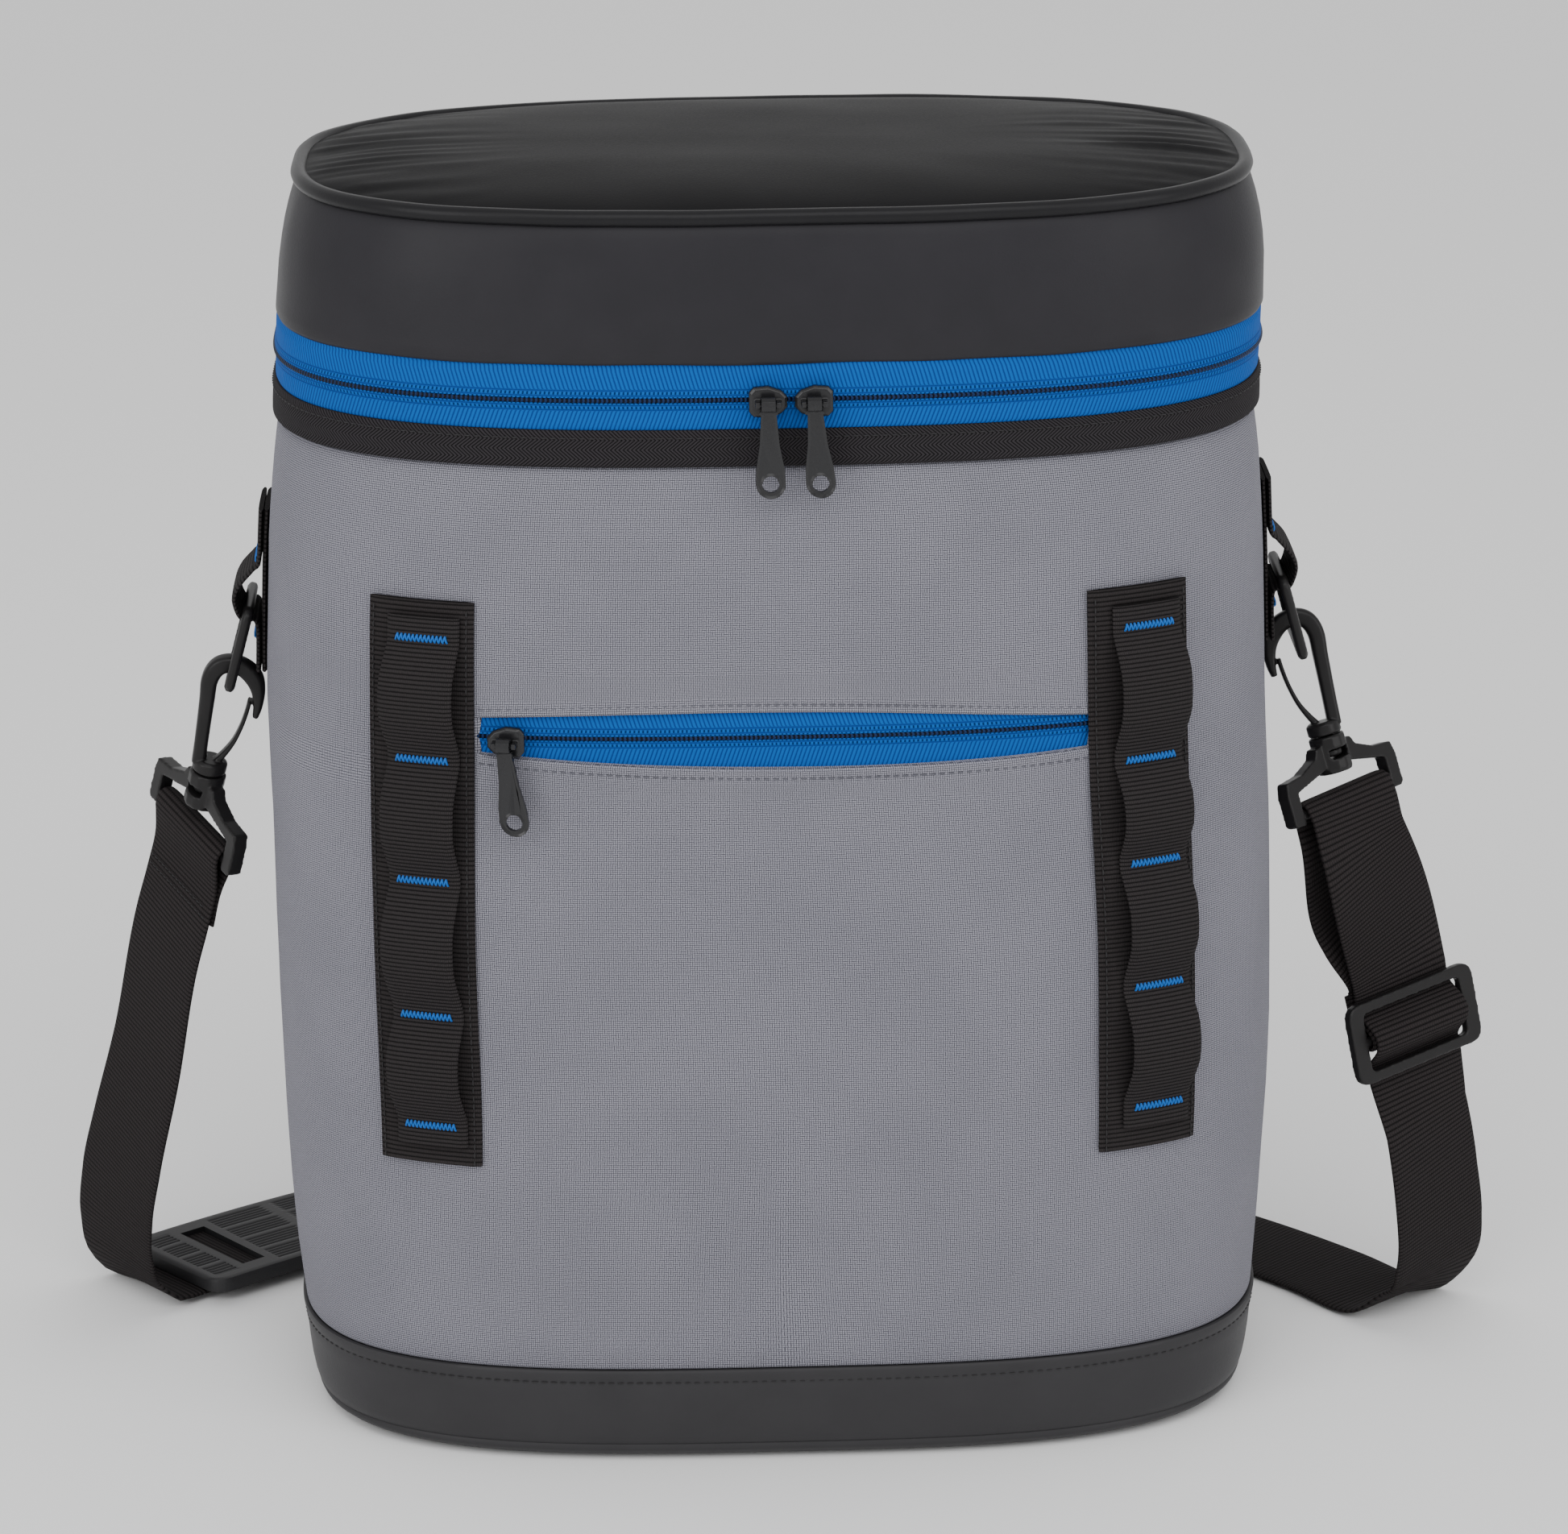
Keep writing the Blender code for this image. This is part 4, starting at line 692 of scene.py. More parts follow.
def grey_wall():
    """Closed shell of the wall. The rows named in the slit's table follow its lips."""
    columns = 760
    shares = [i / columns for i in range(columns)]
    xs = [wall(s, 232 * MM).x for s in shares]
    front = [wall(s, 232 * MM).y < 0 for s in shares]
    rows = [(31.4, -3.0), (31.4, -0.5), (32.4, 0.0)]
    rows += [(h, 0.0) for h in (40, 50, 60, 72, 84, 96, 108, 120, 132, 144, 156, 168, 180, 190, 200, 208, 214)]
    rows += [(name, 0.0) for name in SLIT]
    rows += [(h, 0.0) for h in (252, 260, 268, 276, 284, 292, 299, 305, 310)]
    rows += [(313.4, -0.1), (314.3, -0.8), (314.3, -3.0)]
    points = []
    for height, proud in rows:
        line = []
        for s, x, is_front in zip(shares, xs, front):
            h, p = height, proud
            if isinstance(height, str):
                upper, off, p = SLIT[height]
                edge = min(max(x / MM, -100), 100)
                h = (pocket_top(edge) if upper else pocket_bottom(edge)) + off
                p *= in_pocket(x) if is_front else 0.0
            spot = wall(s, h * MM)
            if 33 < h < 312:
                fade = min((h - 33) / 20, (312 - h) / 20, 1.0)
                p += 0.55 * fade * noise.noise(spot / 0.045 + Vector((3, 1, 2)))
                p += 0.14 * fade * noise.noise(spot / 0.014)
            line.append(wall(s, h * MM, p * MM))
        points.append(line)
    bm = wall_mesh(points)
    return piece("grey_wall", bm, GREY_WEAVE, replaces=["body_wall"], slot="grey_cloth")


grey = grey_wall()
print("grey wall faces:", len(grey.data.polygons))

# %% [markdown]
# A row of grey thread holds each lip of the slit, and the blue tape with its teeth lies in
# the slit's floor.

# %% Pocket stitching and zip
def pocket_shares(margin=0.0):
    return front_share(POCKET_LEFT + margin * MM), front_share(POCKET_RIGHT - margin * MM)


def pocket_rows():
    shares = spread(*pocket_shares(1.0), 90)
    for name, edge, gap in (("over", pocket_top, 2.6), ("under", pocket_bottom, -2.9)):
        def height(s, edge=edge, gap=gap):
            return (edge(wall(s, 232 * MM).x / MM) + gap) * MM
        stitches("pocket_stitches_" + name, wall_line(shares, height, 0.5 * MM), GREY_THREAD)


def pocket_zip():
    ends = pocket_shares(-2.0)
    rows = [(222.9, -2.2), (222.9, -1.5), (226, -1.25), (229.6, -1.0), (231.0, -0.7), (COIL_LINE, -0.6),
            (234.8, -0.7), (236.2, -1.0), (239.4, -1.25), (242.0, -1.5), (242.0, -2.2)]
    tape("pocket_tape", rows, spread(*ends, 140), COIL_LINE, ZIP_TAPE, replaces=["pocket_zip_tape"],
         slot="blue_zip_tape")
    teeth("pocket_teeth", ends, COIL_LINE, -0.6, 0.65, 0.5, ["pocket_zip_coil"])


def teeth(name, ends, height, proud, half, rise, replaces):
    """Round string of teeth along the wall."""
    count = round((ends[1] - ends[0]) * GIRTH / 0.7)
    shares = spread(*ends, count)
    arc = [(-half, -0.3), (-half, rise * 0.35), (-half * 0.6, rise * 0.85), (0.0, rise),
           (half * 0.6, rise * 0.85), (half, rise * 0.35), (half, -0.3)]
    points = [[wall(s, (height + h) * MM, (proud + p * (1.0 if j % 2 else 0.8)) * MM)
               for j, s in enumerate(shares)] for h, p in arc]
    bm = sheet_mesh(points, lambda i, j: (j + 0.5) * 0.7, lambda i, j: arc[i][0], close=True)
    return piece(name, bm, ZIP_TEETH, replaces=replaces, slot="blue_zip_tape")


pocket_rows()
pocket_zip()
print("pocket zip from x", round(POCKET_LEFT / MM), "to", round(POCKET_RIGHT / MM))

# %% [markdown]
# The bottom band is a shallow cup of coated cloth. Its upper edge is folded over the grey cloth
# and sewn down, and a thin welt runs round its foot.

# %% Bottom band
def bottom_band():
    rows = [(5.0, -6.0), (29.0, -2.5), (30.9, -1.2), (31.4, 0.3), (31.2, 0.9), (30.2, 1.15), (28.2, 0.95), (27.2, 0.62),
            (26.2, 0.85), (23.0, 0.5), (18.0, 0.4), (13.0, 0.3), (9.0, 0.2), (6.4, 0.0), (5.4, -0.5),
            (4.6, 0.35), (3.4, 0.75), (2.0, 0.4), (0.9, -0.6), (0.3, -2.0), (0.0, -4.0)]
    columns = 288
    shares = [i / columns for i in range(columns)]
    points = []
    for h, p in reversed(rows):
        line = []
        for s in shares:
            fold = 0.25 * noise.noise(wall(s, 40 * MM) / 0.03) if 6 < h < 30 else 0.0
            line.append(wall(s, h * MM, (p + fold) * MM))
        points.append(line)
    bm = wall_mesh(points, close=False)
    fill_row(bm, 0, columns)
    fill_row(bm, len(points) - 1, columns)
    made = piece("bottom_band", bm, BAND_CLOTH, replaces=["base_band"], slot="black_coated_cloth", smooth=60)
    stitches("band_stitches", wall_line(spread(0, 1, 360), 27.2 * MM, 0.62 * MM), BLACK_THREAD, 2.9, 2.2)
    return made


bottom = bottom_band()

# %% [markdown]
# Webbing binds the raw edge of the wall. The two zip tapes stand above it with the teeth
# between them, and a plain panel of coated cloth takes their place behind, as a hinge.

# %% Binding, main zip and hinge
HINGE_HALF = 86 / GIRTH
ZIP_LINE = 334.6


def binding_and_zip():
    band("binding", [(314.9, -1.5), (314.9, 1.1), (315.6, 1.7), (318, 1.75), (321, 1.7), (324.6, 1.6),
                     (325.7, 1.1), (325.9, 0.2), (325.9, -1.5)], BINDING_TAPE, replaces=["rim_binding"],
         slot="black_webbing", columns=360)
    stitches("binding_stitches", wall_line(spread(0, 1, 360), 323.6 * MM, 1.62 * MM), BLACK_THREAD, 2.8, 2.1)
    ends = (0.25 + HINGE_HALF, 1.25 - HINGE_HALF)
    for name, low, high, node in (("zip_tape_below", 325.6, 334.2, "zip_tape_lower"),
                                  ("zip_tape_above", 335.0, 345.4, "zip_tape_upper")):
        rows = [(h, 0.9 + 0.35 * (abs(h - ZIP_LINE) < 2.4) - 0.5 * (abs(h - ZIP_LINE) > 8.6))
                for h in spread(low, high, 8)]
        tape(name, [(low, -0.4)] + rows + [(high, -0.4)], spread(*ends, 300), ZIP_LINE, ZIP_TAPE,
             replaces=[node], slot="blue_zip_tape")
    teeth("main_teeth", ends, ZIP_LINE, 1.0, 0.75, 0.75, ["zip_coil"])
    panel = (0.25 - HINGE_HALF - 0.001, 0.25 + HINGE_HALF + 0.001)
    band("hinge_panel", [(325.5, -1.2), (325.5, 0.9), (327, 1.5), (334, 1.75), (342, 1.5), (344.6, 0.9),
                         (344.6, -1.2)], LID_CLOTH, ends=panel, replaces=["lid_hinge"],
         slot="black_coated_cloth")
    stitches("hinge_stitches", wall_line(spread(panel[0], panel[1], 60), 328.2 * MM, 1.5 * MM), BLACK_THREAD)


binding_and_zip()
print("zip teeth run", round((1 - 2 * HINGE_HALF) * GIRTH), "mm round the front")

# %% [markdown]
# The lid is padded too. Its side stands on the zip tape with a slightly wavy lower edge and
# swells in the middle. The top panel is puffed, and near its two ends the cloth gathers in
# wrinkles that run in from the piping, side by side along the bag.

# %% Lid
PANEL_INSET, PANEL_PUFF, PANEL_EDGE, WRINKLE = 1.4, 5.0, 0.9, 1.5
PIPE_INSET, PIPE_RADIUS, PIPE_SIDES = 0.9, 2.45, 10


def lid_side():
    columns = 288
    shares = [i / columns for i in range(columns)]
    rows = [(344.9, -2.5), (344.5, -0.4), (344.9, 0.9), (346.0, 1.45), (349, 1.3), (354, 1.1), (360, 1.0),
            (366, 0.9), (372, 0.8), (377, 0.55), (381, 0.2), (384.0, -0.5), (386.0, -2.0)]
    points = []
    for h, p in rows:
        line = []
        for s in shares:
            spot = wall(s, 345 * MM)
            low = 1 - min((h - 344) / 12, 1)
            drop = 0.45 * low * noise.noise(spot / 0.028)
            dent = 0.5 * noise.noise(Vector((spot.x, spot.y, h * MM)) / 0.04 + Vector((5, 2, 8)))
            dent += 0.2 * noise.noise(Vector((spot.x, spot.y, h * MM)) / 0.012) * min((h - 344) / 20, 1)
            tilt = seam(spot) * min(max((h - 350) / 36, 0.0), 1.0)
            line.append(wall(s, (h + drop) * MM, (p + dent * (h < 384)) * MM) + tilt)
        points.append(line)
    bm = wall_mesh(points)
    return piece("lid_side", bm, LID_CLOTH, replaces=["lid_wall"], slot="black_coated_cloth", smooth=60)


def lid_panel():
    columns = 480
    shares = [1.0, 0.988, 0.97, 0.945, 0.915, 0.88, 0.84, 0.79, 0.73, 0.66, 0.58, 0.49, 0.39, 0.28, 0.16, 0.05]
    middle = Vector((HALF_WIDTH * 0.009, 0, 0))
    points = []
    for share in shares:
        line = []
        for c in range(columns):
            edge = wall(c / columns, SEAM_HEIGHT, -PANEL_INSET * MM)
            flat = middle + (edge - middle) * share
            rise = PANEL_PUFF * (1 - share ** 5) ** 0.8 + PANEL_EDGE
            end = min(max((abs(flat.x) / HALF_WIDTH - 0.52) / 0.25, 0.0), 1.0)
            ripple = noise.noise(Vector((flat.x / 0.055, flat.y / 0.0062, 3.0)))
            fold = WRINKLE * ripple * end * min((1.0 - share) / 0.05, 1.0)
            fold += 0.6 * noise.noise(Vector((flat.x, flat.y, 0)) / 0.035) * (1 - share ** 3)
            line.append(Vector((flat.x, flat.y, SEAM_HEIGHT + (rise + fold) * MM)) + seam(flat))
        points.append(line)
    bm = sheet_mesh(points, lambda i, j: j / columns * GIRTH, lambda i, j: shares[i] * 80, wrap=True)
    fill_row(bm, 0, columns)
    fill_row(bm, len(shares) - 1, columns)
    # The top panel's cloth is the lid's cloth painted darker, as shade on the top.
    return piece("lid_panel", bm, SHADED_TOP_CLOTH, replaces=["lid_top"], slot="black_coated_cloth", smooth=70)


def lid_piping():
    columns = 288
    points = []
    for k in range(PIPE_SIDES):
        turn = TURN * k / PIPE_SIDES
        line = []
        for c in range(columns):
            s = c / columns
            wave = 0.3 * noise.noise(wall(s, SEAM_HEIGHT) / 0.03)
            centre = wall(s, SEAM_HEIGHT, -PIPE_INSET * MM)
            centre += seam(centre)
            out = outward(s, SEAM_HEIGHT)
            line.append(centre + (out * math.cos(turn) + Vector((0, 0, math.sin(turn)))) * PIPE_RADIUS * MM
                        + Vector((0, 0, wave * MM)))
        points.append(line)
    bm = sheet_mesh(points, lambda i, j: j / columns * GIRTH, lambda i, j: i * 1.5, True, True)
    return piece("piping", bm, PIPE_CLOTH, replaces=["lid_piping"], slot="black_coated_cloth")


side_cloth = lid_side()
top_cloth = lid_panel()
lid_piping()
print("lid top at", round(max(v.co.z for v in top_cloth.data.vertices) / MM, 1), "mm")

# %% [markdown]
# A daisy chain is a wide web sewn flat with a narrower one on it, tacked down every few
# centimetres so that it bows between the tacks. Each web is a flat ribbon with rounded edges.
# The tacks are dense zigzags of blue thread.

# %% Webbing on the wall
CHAIN_FOOT = 97.7
CHAIN_LENGTH = 176.0
CHAINS = dict(left=dict(sign=-1, edge=-88.9, inset=3.2, tacks=[110.6, 145.7, 188.2, 225.8, 262.8]),
              right=dict(sign=1, edge=89.8, inset=6.4, tacks=[111.7, 150.2, 189.2, 221.4, 262.2]))
BACKING_WIDTH = 32.0
CHAIN_WIDTH = 21.5
WEB = 1.5
WEB_COLUMNS = 14
WEB_EDGE = {0: 0.35, 1: 0.85, WEB_COLUMNS: 0.35}
TACK_HEIGHT, TACK_MARGIN = 2.0, 3.0
CLEAR = 0.3
BOW, BOW_SPREAD = 3.9, 0.35
BOW_SHAPE = [(-0.04, 0.0), (0.06, 0.05), (0.2, 0.5), (0.34, 0.9), (0.5, 1.0), (0.66, 0.88), (0.8, 0.5), (0.94, 0.05)]


def web_on_wall(name, line, edges, material, replaces):
    """Web over the wall: line gives height and distance from the wall of its middle in
    millimetres, edges gives the two shares that it spans."""
    rows, gone = [], [0.0]
    for a, b in zip(line, line[1:]):
        gone.append(gone[-1] + math.hypot(b[0] - a[0], b[1] - a[1]))
    for i, (h, p) in enumerate(line):
        ahead = (Vector(line[min(i + 1, len(line) - 1)]) - Vector(line[max(i - 1, 0)])).normalized()
        over, under = [], []
        for j in range(WEB_COLUMNS + 1):
            share = edges[0] + (edges[1] - edges[0]) * j / WEB_COLUMNS
            thick = WEB / 2 * WEB_EDGE.get(j, 1.0)
            rise, proud = ahead.y * thick, ahead.x * thick
            over.append(wall(share, (h - rise) * MM, (p + proud) * MM))
            under.append(wall(share, (h + rise) * MM, (p - proud) * MM))
        rows.append(over + under[::-1])
    width = (edges[1] - edges[0]) * GIRTH
    count = len(rows[0])
    bm = sheet_mesh(rows, lambda i, j: gone[i],
                    lambda i, j: width * min(j % count, count - 1 - j % count) / WEB_COLUMNS, wrap=True)
    fill_row(bm, 0, count)
    fill_row(bm, len(rows) - 1, count)
    return piece(name, bm, material, replaces=replaces, slot="black_webbing")


def curve(rows, step=None):
    """Rounded line through rows of numbers, with points about every step, or six to a span."""
    rows = [Vector(row) for row in rows]
    line = []
    for i, (a, b) in enumerate(zip(rows, rows[1:])):
        leave = (b - rows[max(i - 1, 0)]) * 0.5
        arrive = (rows[min(i + 2, len(rows) - 1)] - a) * 0.5
        pieces = max(1, round((b - a).length / step)) if step else 6
        line += [bend(k / pieces, a, b, leave, arrive) for k in range(pieces)]
    return line + [rows[-1]]


def zigzag(name, edges, height, proud, turns):
    """Dense zigzag tack across a web, one thread after another."""
    line = []
    for k in range(turns + 1):
        s = edges[0] + (edges[1] - edges[0]) * k / turns
        h = height + (TACK_HEIGHT / 2 if k % 2 else -TACK_HEIGHT / 2)
        line.append((wall(s, h * MM, proud * MM), outward(s, h * MM)))
    bm = bmesh.new()
    for (a, out), (b, _) in zip(line, line[1:]):
        low_thread(bm, a, b, out, out.cross((b - a).normalized()).normalized(), 0.3, -0.5, TACK)
    bmesh.ops.recalc_face_normals(bm, faces=bm.faces[:])
    return piece(name, bm, BLUE_THREAD)


# %% Daisy chains
def daisy_chain(side):
    facts = CHAINS[side]
    sign = facts["sign"]
    inner = front_share(facts["edge"] * MM)
    outer = inner + sign * BACKING_WIDTH / GIRTH
    edges = sorted((inner, outer))
    low, high = CHAIN_FOOT, CHAIN_FOOT + CHAIN_LENGTH
    flat = CLEAR + WEB / 2
    web_on_wall("backing_web_" + side, [(h, flat) for h in spread(low, high, 60)], edges,
                BACKING_WEBBING, ["chain_backing_" + side])
    near = inner + sign * facts["inset"] / GIRTH
    far = near + sign * CHAIN_WIDTH / GIRTH
    edges = sorted((near, far))
    base = 2 * CLEAR + 1.5 * WEB
    tacks = facts["tacks"]
    knots = [(tacks[0] - 6.5, base)]
    for i, (a, b) in enumerate(zip(tacks, tacks[1:])):
        bow = BOW + BOW_SPREAD * math.sin(2.1 * i + (0 if sign < 0 else 1.3))
        knots += [(a + (b - a) * share, base + bow * lift) for share, lift in BOW_SHAPE]
    knots += [(tacks[-1] - 1, base), (tacks[-1] + 6.5, base)]
    web_on_wall("bowed_web_" + side, curve(knots, 1.2), edges, CHAIN_WEBBING, ["chain_web_" + side])
    margin = TACK_MARGIN / GIRTH
    for n, height in enumerate(tacks):
        zigzag("tack_%s_%d" % (side, n), (edges[0] + margin, edges[1] - margin), height, base + WEB / 2 + 0.15, 26)
    inset = 1.7 / GIRTH
    for n, s in enumerate((min(inner, outer) + inset, max(inner, outer) - inset)):
        line = [(wall(s, h * MM, (flat + WEB / 2) * MM), outward(s, h * MM)) for h in spread(low + 1, high - 1, 80)]
        stitches("backing_stitches_%s_%d" % (side, n), line, BLACK_THREAD, 2.6, 2.0)


for side in CHAINS:
    daisy_chain(side)
print("tacks in the chains:", sum(len(chain["tacks"]) for chain in CHAINS.values()))

# %% [markdown]
# On each side a short web is sewn down with a loop in its middle that holds the ring. Its path
# is the same as in the packed model, smoothed: flat, round the ring's rod, out and back up.

# %% Side webs
SIDE_WEB_WIDTH = 25.0
SIDE_LENGTH = 51.0
ROD = 1.8
SEAT = 0.4
LOOP_REACH = 11.0
RINGS = dict(left=dict(sign=-1, height=0.6495), right=dict(sign=1, height=0.6600))


def side_webs(side):
    facts = RINGS[side]
    ring_height = facts["height"] * SEAM_HEIGHT / MM
    edges = sorted(side_share(facts["sign"], y * MM) for y in (-SIDE_WEB_WIDTH / 2, SIDE_WEB_WIDTH / 2))
    low = ring_height - 0.38 * SIDE_LENGTH
    high = low + SIDE_LENGTH
    flat = CLEAR + WEB / 2
    web_on_wall("side_web_" + side, [(h, flat) for h in spread(low, high, 20)], edges, BACKING_WEBBING,
                ["side_backing_" + side])
    base = 2 * CLEAR + 1.5 * WEB
    proud = 2 * CLEAR + WEB + 2 * SEAT + 1.2 + ROD
    turn = ROD + 1.5 * SEAT + WEB / 2
    knots = [(low, base), (ring_height - 1.9 * turn, base)]
    for angle in (-120, -95, -70, -45, -20):
        knots.append((ring_height + turn * math.sin(math.radians(angle)),
                      proud + turn * math.cos(math.radians(angle))))
    knots += [(ring_height + 0.5 * turn, LOOP_REACH - 0.8 * WEB), (ring_height + 1.4 * turn, LOOP_REACH - 0.6 * WEB),
              (ring_height + 2.6 * turn, LOOP_REACH * 0.78), (ring_height + 4.0 * turn, LOOP_REACH * 0.44),
              (ring_height + 5.0 * turn, base), (high, base)]
    web_on_wall("loop_web_" + side, curve(knots, 1.0), edges, CHAIN_WEBBING, ["side_loop_" + side])
    margin = TACK_MARGIN / GIRTH
    for n, height in enumerate((ring_height - 2.6 * turn, ring_height + 4.95 * turn)):
        zigzag("side_tack_%s_%d" % (side, n), (edges[0] + margin, edges[1] - margin), height,
               base + WEB / 2 + 0.15, 30)


for side in RINGS:
    side_webs(side)

# %% [markdown]
# Rings, strap bars and the slider are moulded, so their edges are soft. A copy of each packed
# solid is remeshed finely and relaxed, which rounds every edge at once, as a polished mould
# does, and keeps the piece's size. The two snap hooks bend too smoothly for that: each is swept
# again along its middle line, with its spring gate, its collar and the shank that turns in the
# strap bar, and the remesh then joins those shells into one.

# %% Moulded hardware
def choose(made):
    """Make an object the only chosen one."""
    bpy.ops.object.select_all(action="DESELECT")
    bpy.context.view_layer.objects.active = made
    made.select_set(True)


def soften(made, voxel, relax):
    """Remesh an object finely and relax its edges."""
    choose(made)
    remesh = made.modifiers.new("remesh", "REMESH")
    remesh.mode = "VOXEL"
    remesh.voxel_size = voxel * MM
    smooth = made.modifiers.new("relax", "SMOOTH")
    smooth.factor = 0.5
    smooth.iterations = relax
    for change in (remesh, smooth):
        bpy.ops.object.modifier_apply(modifier=change.name)
    made.data.shade_smooth()
    made.select_set(False)
    return made


def packed_copy(node, name, material, slot, body=BAG):
    """Copy of a packed solid that stands for it."""
    bm = bmesh.new()
    bm.from_mesh(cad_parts[node].data)
    bmesh.ops.remove_doubles(bm, verts=bm.verts[:], dist=1e-7)
    return piece(name, bm, material, replaces=[node], slot=slot, body=body)


# Node, name of its piece, voxel in millimetres, rounds of relaxing
HARDWARE = [("ring_left", "side_ring_left", 0.5, 6), ("ring_right", "side_ring_right", 0.5, 6),
            ("swivel_base_left", "strap_bar_left", 0.45, 4), ("swivel_base_right", "strap_bar_right", 0.45, 4),
            ("strap_slider", "strap_adjuster", 0.45, 6)]
for node, name, voxel, relax in HARDWARE:
    made = soften(packed_copy(node, name, PLASTIC, "black_plastic"), voxel, relax)
    print(name, "faces:", len(made.data.polygons))
for node in ("main_slider_left", "main_slider_right", "pocket_slider"):
    soften(packed_copy(node, node + "_cast", ENAMEL, "black_zip_metal"), 0.2, 3)

# %% [markdown]
# A zip puller is pressed from zinc: a flat tongue with a rim round a sunken field, a hole at its
# end and soft edges. A copy of the packed tongue has its flat faces joined in edit mode, its
# front face inset and pushed back, and a bevel on every edge. That keeps the edges crisp, which
# a remesh would not on so thin a plate.

# %% Zip pullers
def pressed_puller(node, body):
    made = packed_copy(node, node + "_pressed", ENAMEL, "black_zip_metal", body)
    choose(made)
    bpy.ops.object.mode_set(mode="EDIT")
    bpy.ops.mesh.select_mode(type="FACE")
    bpy.ops.mesh.select_all(action="SELECT")
    bpy.ops.mesh.dissolve_limited(angle_limit=math.radians(1.5))
    bpy.ops.mesh.select_all(action="DESELECT")
    bpy.ops.object.mode_set(mode="OBJECT")
    front = [face for face in made.data.polygons if face.normal.y < -0.85]
    widest = max(face.area for face in front)
    for face in front:
        face.select = face.area > 0.2 * widest
    bpy.ops.object.mode_set(mode="EDIT")
    bpy.ops.mesh.inset(thickness=0.75 * MM, depth=-0.35 * MM, use_even_offset=True)
    bpy.ops.object.mode_set(mode="OBJECT")
    bevel = made.modifiers.new("bevel", "BEVEL")
    bevel.width = 0.16 * MM
    bevel.segments = 2
    bevel.angle_limit = math.radians(30)
    bpy.ops.object.modifier_apply(modifier=bevel.name)
    bpy.ops.object.shade_smooth_by_angle(angle=math.radians(35))
    made.select_set(False)
    return made


for node, body in (("main_puller_left", "main_pull_left"), ("main_puller_right", "main_pull_right"),
                   ("pocket_puller", "pocket_pull")):
    print(node, "faces:", len(pressed_puller(node, body).data.polygons))


# %% Snap hooks
def frame_at(place, across, up):
    """Matrix at a place in millimetres, with local X along across, Z along up and Y square to both."""
    z = Vector(up).normalized()
    x = (Vector(across) - z * Vector(across).dot(z)).normalized()
    return Matrix.Translation(Vector(place) * MM) @ Matrix((x, z.cross(x), z)).transposed().to_4x4()


# Rows of the hook's spine and gate: side, height, width. Rows of its turned shank: radius, height
SPINE = [(-3.6, 2.4, 4.4), (-4.3, 12.0, 4.4), (-5.2, 24.0, 4.8), (-5.7, 31.0, 5.3), (-4.2, 35.6, 5.6),
         (-0.8, 37.7, 5.5), (3.5, 37.2, 5.7), (7.2, 34.6, 5.8), (9.4, 30.5, 4.4), (10.3, 25.5, 3.0), (10.25, 21.8, 1.9)]
SPRING_GATE = [(1.2, 3.0, 2.4), (3.45, 6.9, 1.95), (5.5, 11.7, 1.5), (6.8, 17.4, 1.35), (7.4, 22.6, 1.35),
               (7.55, 26.7, 1.35)]
TURNED = [(3.3, -7.05), (3.6, -6.25), (3.6, -5.05), (2.1, -5.05), (2.1, -0.1), (4.9, 0.0), (5.3, 0.6), (5.3, 3.3),
          (4.3, 4.2)]
HOOKS = dict(left=dict(place=(-173.32, 0.2, 196.466), up=(0.24173, -0.16492, 0.95623),
                       hook=(0.97034, 0.04108, -0.23821), bar=(0.52849, -0.80409, -0.27228)),
             right=dict(place=(170.763, 0.231, 201.225), up=(-0.26679, 0.21608, 0.93922),
                        hook=(-0.96375, -0.05982, -0.26), bar=(-0.74898, -0.65978, -0.06096)))


def sweep(bm, rows, depth):
    """Flat-sided bar along rows of side, height and width, all in the hook's plane."""
    line = curve(rows)
    rings = []
    for i, row in enumerate(line):
        ahead = line[min(i + 1, len(line) - 1)] - line[max(i - 1, 0)]
        across = Vector((ahead.y, 0, -ahead.x)).normalized()
        ring = []
        for k in range(20):
            c, s = math.cos(TURN * k / 20), math.sin(TURN * k / 20)
            ring.append((Vector((row.x, 0, row.y)) + across * row.z / 2 * math.copysign(abs(c) ** 0.62, c)
                         + Vector((0, depth / 2 * math.copysign(abs(s) ** 0.62, s), 0))) * MM)
        rings.append(ring)
    tube(bm, rings)


def snap_hook(side):
    bm = bmesh.new()
    sweep(bm, SPINE, 5.4)
    sweep(bm, SPRING_GATE, 3.8)
    tube(bm, [[Vector((r * math.cos(TURN * k / 36), r * math.sin(TURN * k / 36), h)) * MM for k in range(36)]
              for r, h in TURNED])
    bmesh.ops.recalc_face_normals(bm, faces=bm.faces[:])
    facts = HOOKS[side]
    bm.transform(frame_at(facts["place"], facts["hook"], facts["up"]))
    made = piece("snap_hook_" + side + "_moulded", bm, PLASTIC, replaces=["hook_" + side], slot="black_plastic",
                 body="snap_hook_" + side)
    return soften(made, 0.3, 2)


for side in HOOKS:
    print("hook faces:", side, len(snap_hook(side).data.polygons))

# %% [markdown]
# The shoulder strap is one flat web. It is folded and sewn round the left bar, hangs to the
# floor, runs under the rubber pad round the back of the bag, climbs through the slider and
# turns round the right bar. Its route repeats that of the packed solids, with closer stations
# and rounded edges.

